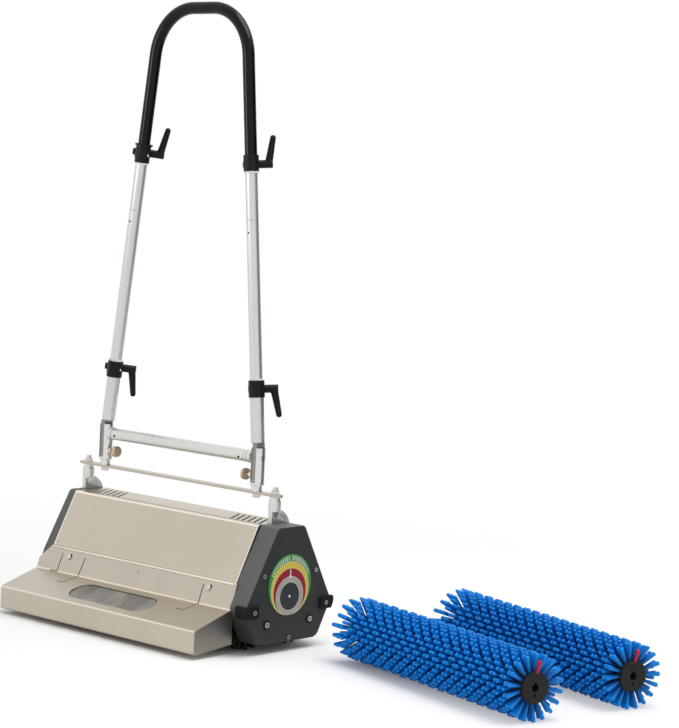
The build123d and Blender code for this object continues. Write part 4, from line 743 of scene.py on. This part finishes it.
def tufted_brush(radius, splays):
    """Rows of tufts around a core along X, every second row half a step in; the ends may fan out."""
    length = radius - ROOT_RADIUS
    single = strand(length)
    close = [tuft(single, length, CLOSE_REACH, PLAIN_WIDTH) for kind in range(TUFT_KINDS)]
    wide = [tuft(single, length, WIDE_REACH, PLAIN_WIDTH) for kind in range(TUFT_KINDS)]
    ends = [tuft(single, length, CLOSE_REACH, END_WIDTH) for kind in range(TUFT_KINDS)]
    last = TUFT_COLUMNS - 1
    pitch = (BRUSH_LENGTH - 2 * END_INSET) / last
    tufts = []
    for row in range(TUFT_ROWS):
        for step in range(row % 2, 2 * last + 1, 2):
            along = (step - last) * pitch / 2
            splay = splays[1] * SPLAY_FADE ** (2 * last - step) - splays[0] * SPLAY_FADE ** step
            angle = 2 * math.pi * (row + shake.uniform(-ROW_SHAKE, ROW_SHAKE)) / TUFT_ROWS
            outer = step in (0, 2 * last)
            kinds = ends if outer else wide if row % WIDE_EVERY == 0 else close
            for share in OUTER_FANS if outer and splay else INNER_FANS:
                fan = Matrix.Identity(4)
                fan[0][2] = splay * share * shake.uniform(*FAN_SHAKE) / length
                fan[0][3] = along - ROOT_RADIUS * fan[0][2] + shake.uniform(-TUFT_SHAKE, TUFT_SHAKE)
                matrix = Matrix.Rotation(angle, 4, "X") @ fan
                tufts.append(twin(shake.choice(kinds), "tuft", matrix))
    for kind in close + wide + ends:
        discard(kind)
    brush = join(tufts, "tufted_brush")
    mark_strands(brush, len(single.data.vertices), length)
    discard(single)
    return brush


def mark_strands(brush, each, length):
    """Gives every strand a tone of its own, and every point its rise from root to tip."""
    places = [point.co.copy() for point in brush.data.vertices]
    tones = [shake.random() for number in range(len(places) // each)]
    heights = [math.hypot(place.y, place.z) - ROOT_RADIUS for place in places]
    carry(brush, "tone", [tones[index // each] for index in range(len(places))])
    carry(brush, "rise", [min(1.0, max(0.0, height / length)) for height in heights])


def marker_strand(body, radius, place):
    """Red strand that shows which end of a loose brush is driven."""
    single = strand(radius - ROOT_RADIUS)
    thick = MARKER_RADIUS / STRAND_TIP
    spot = Matrix.Translation((BRUSH_LENGTH / 2 + MARKER_STAND, 0.0, CORE_RADIUS - MARKER_SINK))
    shape = Matrix.Rotation(MARKER_LEAN, 4, "Y") @ Matrix.Diagonal((thick, thick, MARKER_SHARE, 1.0))
    piece = twin(single, body + "_marker", place @ spot @ shape)
    discard(single)
    for name in ("tone", "rise"):
        carry(piece, name, [MARKER_TONE] * len(piece.data.vertices))
    dress(piece, RED, body, "bristle_blue")


def all_brushes():
    """Two brushes in the machine and two loose ones, each in its sleeve's place."""
    for bodies, finish, slot, splays in (
        (("front_brush", "rear_brush"), BLACK_NYLON, "bristle_black", (0.0, 0.0)),
        (("loose_front", "loose_rear"), BLUE, "bristle_blue", (FAR_SPLAY, NEAR_SPLAY)),
    ):
        low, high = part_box(bodies[0] + "_bristles")
        radius = (high.z - low.z) / 2
        brush = tufted_brush(radius, splays)
        for number, body in enumerate(bodies):
            node = body + "_bristles"
            turn = Matrix.Rotation(math.radians(LOOSE_TURNS.get(body, 0.0)), 4, "Z")
            place = Matrix.Translation(middle(*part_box(node))) @ turn
            spin = Matrix.Rotation(number * PAIR_ROWS * 2 * math.pi / TUFT_ROWS, 4, "X")
            dress(twin(brush, body + "_tufts", place @ spin), finish, body, slot, node)
            if body in LOOSE_TURNS:
                marker_strand(body, radius, place)
        discard(brush)


all_brushes()

# Soft-edged mouldings and castings: voxel size in millimetres, smoothing passes and share of faces kept
WELD_GAP = 0.01 * MM
SMOOTH_FACTOR = 0.5
SOFT_LEVER = (0.6, 9, 0.4)
SOFT_ARM = (0.55, 6, 0.35)
SOFT_BUMPER = (0.6, 16, 0.35)


def softened(name, new_name, grid, passes, keep):
    """A copy of a CAD piece with its edges rounded and its forms flowing into each other."""
    piece = twin(NODES[name], new_name, Matrix.Identity(4))
    bpy.ops.object.select_all(action="DESELECT")
    piece.select_set(True)
    bpy.context.view_layer.objects.active = piece
    start_edit()
    bpy.ops.mesh.select_all(action="SELECT")
    bpy.ops.mesh.remove_doubles(threshold=WELD_GAP)
    end_edit()
    for kind, settings in (
        ("REMESH", {"mode": "VOXEL", "voxel_size": grid * MM}),
        ("SMOOTH", {"factor": SMOOTH_FACTOR, "iterations": passes}),
        ("DECIMATE", {"ratio": keep}),
    ):
        modifier = piece.modifiers.new(kind.lower(), kind)
        for setting, value in settings.items():
            setattr(modifier, setting, value)
        bpy.ops.object.modifier_apply(modifier=modifier.name)
    bpy.ops.object.shade_smooth()
    return piece


for lever in ("lower_left_lever", "lower_right_lever", "upper_left_lever", "upper_right_lever"):
    dress(softened(lever, lever + "_grip", *SOFT_LEVER), PLASTIC, lever, "black_plastic", lever)
for arm in ("left_pivot_arm", "right_pivot_arm"):
    dress(softened(arm, arm + "_casting", *SOFT_ARM), ARM_CAST, "handle_foot", "cast_polish", arm)
BUMPERS = softened("corner_bumpers", "bumper_mouldings", *SOFT_BUMPER)
dress(BUMPERS, RUBBER, "machine", "black_rubber", "corner_bumpers")

# Rolled hem along the top of the tray's back plate
HEM_HALF_TALL = 1.9 * MM
HEM_HALF_THICK = 1.3 * MM
HEM_PLACE = (-82.6 * MM, 108.4 * MM)
HEM_INSETS = (27.0 * MM, 6.0 * MM)
HEM_SIDES = 16
HEM_NOSE = 0.8 * MM
HEM_NOSE_SHARE = 0.55
HEM_SMOOTH = 50.0


def rolled_hem():
    """Flattened roll with rounded ends, set on the edge of the plate."""
    low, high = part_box("catch_tray")
    left, right = low.x + HEM_INSETS[0], high.x - HEM_INSETS[1]
    piece = added(bpy.ops.mesh.primitive_cylinder_add, vertices=HEM_SIDES, radius=HEM_HALF_TALL,
                  depth=right - left, location=ORIGIN, rotation=(0.0, math.pi / 2, 0.0))
    piece.name = "tray_hem"
    bpy.ops.object.transform_apply(location=True, rotation=True, scale=True)
    start_edit()
    for way in (-1, 1):
        pick_faces(piece, lambda normal: normal.x * way > FACING)
        extrude((way * HEM_NOSE, 0.0, 0.0))
        resize((1.0, HEM_NOSE_SHARE, HEM_NOSE_SHARE))
    bpy.ops.mesh.select_all(action="SELECT")
    resize((1.0, HEM_HALF_THICK / HEM_HALF_TALL, 1.0))
    end_edit()
    smooth(HEM_SMOOTH)
    place = Matrix.Translation((middle(left, right), *HEM_PLACE))
    piece.data.transform(place @ Matrix.Rotation(-BACK_LEAN, 4, "X"))
    dress(piece, HEM_HIGHLIGHT_STEEL, "tray", "stainless")


rolled_hem()

# White bushes at the clamps: leg, collar height above the fold and open end, in millimetres
FOLD_Z = 297.5 * MM
LEG_LEAN = math.radians(6.4)
LEG_BACK = math.radians(0.87)
LEFT_LEG = (-192.0 * MM, LEG_LEAN)
RIGHT_LEG = (164.0 * MM, -LEG_LEAN)
BUSH_OUTER = 11.7 * MM
BUSH_INNER = 10.15 * MM
BUSH_HEIGHT = 2.6 * MM
BUSH_STAND = 1.2
BUSH_SIDES = 32
BUSHES = {
    "upper_left_bush": (LEFT_LEG, 471.0, -15.5),
    "upper_right_bush": (RIGHT_LEG, 462.5, -13.0),
    "lower_left_bush": (LEFT_LEG, 109.5, 13.5),
    "lower_right_bush": (RIGHT_LEG, 107.5, 13.5),
}
TURNED_SMOOTH = 40.0


def white_bush():
    """Thin ring around the origin along Z."""
    piece = added(bpy.ops.mesh.primitive_cylinder_add, vertices=BUSH_SIDES, radius=BUSH_OUTER,
                  depth=BUSH_HEIGHT, location=ORIGIN)
    start_edit()
    pick_faces(piece, lambda normal: abs(normal.z) > FACING)
    bpy.ops.mesh.inset(thickness=BUSH_OUTER - BUSH_INNER, use_individual=True)
    bpy.ops.mesh.bridge_edge_loops()
    bpy.ops.mesh.select_all(action="SELECT")
    bpy.ops.mesh.normals_make_consistent(inside=False)
    end_edit()
    smooth(TURNED_SMOOTH)
    return piece


def all_bushes():
    ring = white_bush()
    for name, ((leg_x, tilt), collar, end) in BUSHES.items():
        rise = (collar + end + math.copysign(BUSH_STAND, end)) * MM
        fold = Matrix.Translation((leg_x, 0.0, FOLD_Z)) @ Matrix.Rotation(-LEG_BACK, 4, "X")
        leg = Matrix.Rotation(tilt, 4, "Y")
        along = Matrix.Translation((0.0, 0.0, rise / math.cos(tilt)))
        dress(twin(ring, name, fold @ leg @ along), NYLON_WHITE, "handle_top", "gear_plastic")
    discard(ring)


all_bushes()

# Small screws: body, finish, place in millimetres and the way they face
SCREW_RADIUS = 1.9 * MM
SCREW_HEIGHT = 1.2 * MM
SCREW_BEVEL = 0.45 * MM
SCREW_DOME = 0.35 * MM
SCREW_LAND = 0.5 * MM
SCREW_SINK = 0.8 * MM
SCREW_SIDES = 20
SCREW_SPOTS = {
    "left_bar_screw": ("handle_foot", DARK_SCREW, (-162.2, -9.9, 295.7), (0.0, -1.0, -0.18)),
    "right_bar_screw": ("handle_foot", DARK_SCREW, (129.5, -9.9, 295.1), (0.0, -1.0, -0.24)),
    "lower_left_clamp_screw": ("handle_top", SCREW, (-165.4, 1.2, 405.1), (1.0, -0.1, 0.1)),
    "upper_left_clamp_screw": ("handle_top", SCREW, (-125.1, 5.7, 764.2), (1.0, -0.1, 0.1)),
}


def small_screw():
    """Round head with a sunk middle, standing on the origin along Z."""
    piece = added(bpy.ops.mesh.primitive_cylinder_add, vertices=SCREW_SIDES, radius=SCREW_RADIUS,
                  depth=SCREW_HEIGHT, location=ORIGIN)
    start_edit()
    pick_faces(piece, lambda normal: normal.z > FACING)
    bpy.ops.mesh.inset(thickness=SCREW_BEVEL)
    bpy.ops.transform.translate(value=(0.0, 0.0, SCREW_DOME))
    bpy.ops.mesh.inset(thickness=SCREW_LAND)
    extrude((0.0, 0.0, -SCREW_SINK))
    end_edit()
    smooth(TURNED_SMOOTH)
    return piece


def all_screws():
    screw = small_screw()
    for name, (body, finish, spot, facing) in SCREW_SPOTS.items():
        place = Matrix.Translation([part * MM for part in spot]) @ pointing(facing)
        dress(twin(screw, name, place), finish, body, "screw_steel")
    discard(screw)


all_screws()

# Fine screens under the vents
SCREEN_HALF_DEPTH = 27.0 * MM
SCREEN_TOP = 195.6 * MM
SCREEN_THICK = 0.5 * MM
SCREEN_WEB = 0.7 * MM
SCREEN_COLUMNS = 32
SCREEN_ROWS = 18
SCREENS = {"left_vent_screen": (-211.0 * MM, -132.0 * MM), "right_vent_screen": (103.0 * MM, 198.0 * MM)}


def vent_screen(name, left, right):
    """Perforated sheet that closes a group of vents from below."""
    piece = added(bpy.ops.mesh.primitive_grid_add, x_subdivisions=SCREEN_COLUMNS,
                  y_subdivisions=SCREEN_ROWS, size=1.0, location=ORIGIN)
    piece.name = name
    start_edit()
    bpy.ops.mesh.select_all(action="SELECT")
    resize((right - left, 2 * SCREEN_HALF_DEPTH, 1.0))
    bpy.ops.mesh.inset(thickness=SCREEN_WEB, use_individual=True)
    bpy.ops.mesh.delete(type="FACE")
    end_edit()
    thicken = piece.modifiers.new("thickness", "SOLIDIFY")
    thicken.thickness = SCREEN_THICK
    bpy.ops.object.modifier_apply(modifier=thicken.name)
    piece.data.transform(Matrix.Translation((middle(left, right), 0.0, SCREEN_TOP)))
    dress(piece, PLATE_STEEL, "machine", "plate_steel")


for screen_name, screen_ends in SCREENS.items():
    vent_screen(screen_name, *screen_ends)

# Floor
WHITE = (1.0, 1.0, 1.0, 1.0)
FLOOR_SIZE = 60.0
SHADOW_MIDDLE = (-0.02, 0.0)
SHADOW_REACH = 0.12
BACKDROP_REACH = 1.55


def white_floor():
    """Pale floor that keeps the shadows near the middle; for the camera and reflections it glows more further
    out, painting light into the brushes' shadows, and turns into the white backdrop.
    """
    floor = added(bpy.ops.mesh.primitive_plane_add, size=FLOOR_SIZE, location=ORIGIN)
    floor.name = "floor"
    finish = Finish("pale_floor", tint(252, 252, 251), roughness=0.9, Specular_IOR_Level=0.1)
    x, y, z = finish.axes()
    reach = distance(x - SHADOW_MIDDLE[0], y - SHADOW_MIDDLE[1])
    fade = {"Value": reach, "From Min": SHADOW_REACH, "From Max": BACKDROP_REACH}
    share = finish.node("ShaderNodeMapRange", {"interpolation_type": "SMOOTHSTEP"}, fade)
    path = finish.tree.nodes.new("ShaderNodeLightPath").outputs
    seen = Value(finish, path["Is Camera Ray"]).larger(Value(finish, path["Is Glossy Ray"]))
    glow = finish.node("ShaderNodeEmission", {}, {"Color": WHITE, "Strength": 1.0})
    skin = Value(finish, finish.shader.outputs[0])
    # Painted light: the emission share lightens the shadows around the brushes
    blend = finish.node("ShaderNodeMixShader", {}, {0: share * seen, 1: skin, 2: glow})
    finish.feed(finish.tree.nodes["Material Output"].inputs["Surface"], blend)
    floor.data.materials.append(finish.material)


white_floor()


# Light
def studio_world(strength):
    """Even white surround, plain white where the camera, metal or glass looks at it."""
    world = bpy.data.worlds.new("studio")
    bpy.context.scene.world = world
    world.use_nodes = True
    tree = world.node_tree
    path = tree.nodes.new("ShaderNodeLightPath").outputs
    looking = path["Is Camera Ray"]
    for kind in ("Is Transmission Ray", "Is Glossy Ray"):
        larger = tree.nodes.new("ShaderNodeMath")
        larger.operation = "MAXIMUM"
        tree.links.new(looking, larger.inputs[0])
        tree.links.new(path[kind], larger.inputs[1])
        looking = larger.outputs[0]
    level = tree.nodes.new("ShaderNodeMapRange")
    level.inputs["To Min"].default_value = strength
    level.inputs["To Max"].default_value = 1.0
    tree.links.new(looking, level.inputs["Value"])
    back = tree.nodes["Background"]
    back.inputs["Color"].default_value = WHITE
    tree.links.new(level.outputs[0], back.inputs["Strength"])


studio_world(strength=0.6)


def softbox(name, place, target, size, power, spread=180.0):
    """Soft lamp that looks at a point."""
    lamp = bpy.data.lights.new(name, "AREA")
    lamp.shape = "RECTANGLE"
    lamp.size, lamp.size_y = size
    lamp.energy = power
    lamp.spread = math.radians(spread)
    holder = bpy.data.objects.new(name, lamp)
    bpy.context.scene.collection.objects.link(holder)
    holder.location = place
    holder.rotation_mode = "QUATERNION"
    holder.rotation_quaternion = (Vector(target) - Vector(place)).to_track_quat("-Z", "Y")
    holder.visible_camera = False


softbox("key", place=(1.05, 0.36, 3.0), target=(0.2, 0.0, 0.0), size=(2.0, 2.0), power=57.5)
softbox("bow_strip", place=(-0.45, -1.05, 0.93), target=(0.0, 0.0, 0.93), size=(0.3, 0.34), power=0.22,
        spread=50.0)

FELT_CYCLES = (60.0,) * 3


def dark_card(name, place, target, size):
    """Grey card that only reflections see, so that round metal gets darker sides."""
    card = added(bpy.ops.mesh.primitive_plane_add, size=1.0, location=ORIGIN)
    card.name = name
    turn = (Vector(target) - Vector(place)).to_track_quat("Z", "Y").to_matrix().to_4x4()
    card.data.transform(Matrix.Translation(place) @ turn @ Matrix.Diagonal((*size, 1.0, 1.0)))
    finish = Finish(name + "_felt", tint(84, 84, 84), roughness=0.9)
    felt = finish.grain(FELT_CYCLES)
    finish.set("Base Color", finish.mix(felt, tint(78, 78, 78), tint(90, 90, 90)))
    card.data.materials.append(finish.material)
    card.visible_camera = False
    card.visible_diffuse = False
    card.visible_shadow = False


dark_card("right_card", place=(1.06, 1.06, 0.75), target=(0.0, 0.0, 0.75), size=(1.7, 1.5))

# Camera
PICTURE_HEIGHT = 728
FOCAL_PIXELS = 2331.85
SENSOR_WIDTH = 36.0
CLIP_END = 200.0
CAMERA_PLACE = (2.704, -2.643, 0.749)
CAMERA_RIGHT = (0.74000, 0.67084, 0.04872)
CAMERA_UP = (-0.09034, 0.02735, 0.99554)
CAMERA_BACK = (0.66651, -0.74110, 0.08084)


def photo_camera():
    """Camera at the photograph's place, turn and lens."""
    lens = bpy.data.cameras.new("photo_camera")
    lens.sensor_fit = "AUTO"
    lens.sensor_width = SENSOR_WIDTH
    lens.lens = FOCAL_PIXELS * SENSOR_WIDTH / PICTURE_HEIGHT
    lens.clip_end = CLIP_END
    holder = bpy.data.objects.new("photo_camera", lens)
    bpy.context.scene.collection.objects.link(holder)
    turn = Matrix((CAMERA_RIGHT, CAMERA_UP, CAMERA_BACK)).transposed().to_4x4()
    holder.matrix_world = Matrix.Translation(CAMERA_PLACE) @ turn
    bpy.context.scene.camera = holder


photo_camera()
bpy.context.scene.view_settings.view_transform = "Standard"

bpy.context.view_layer.update()
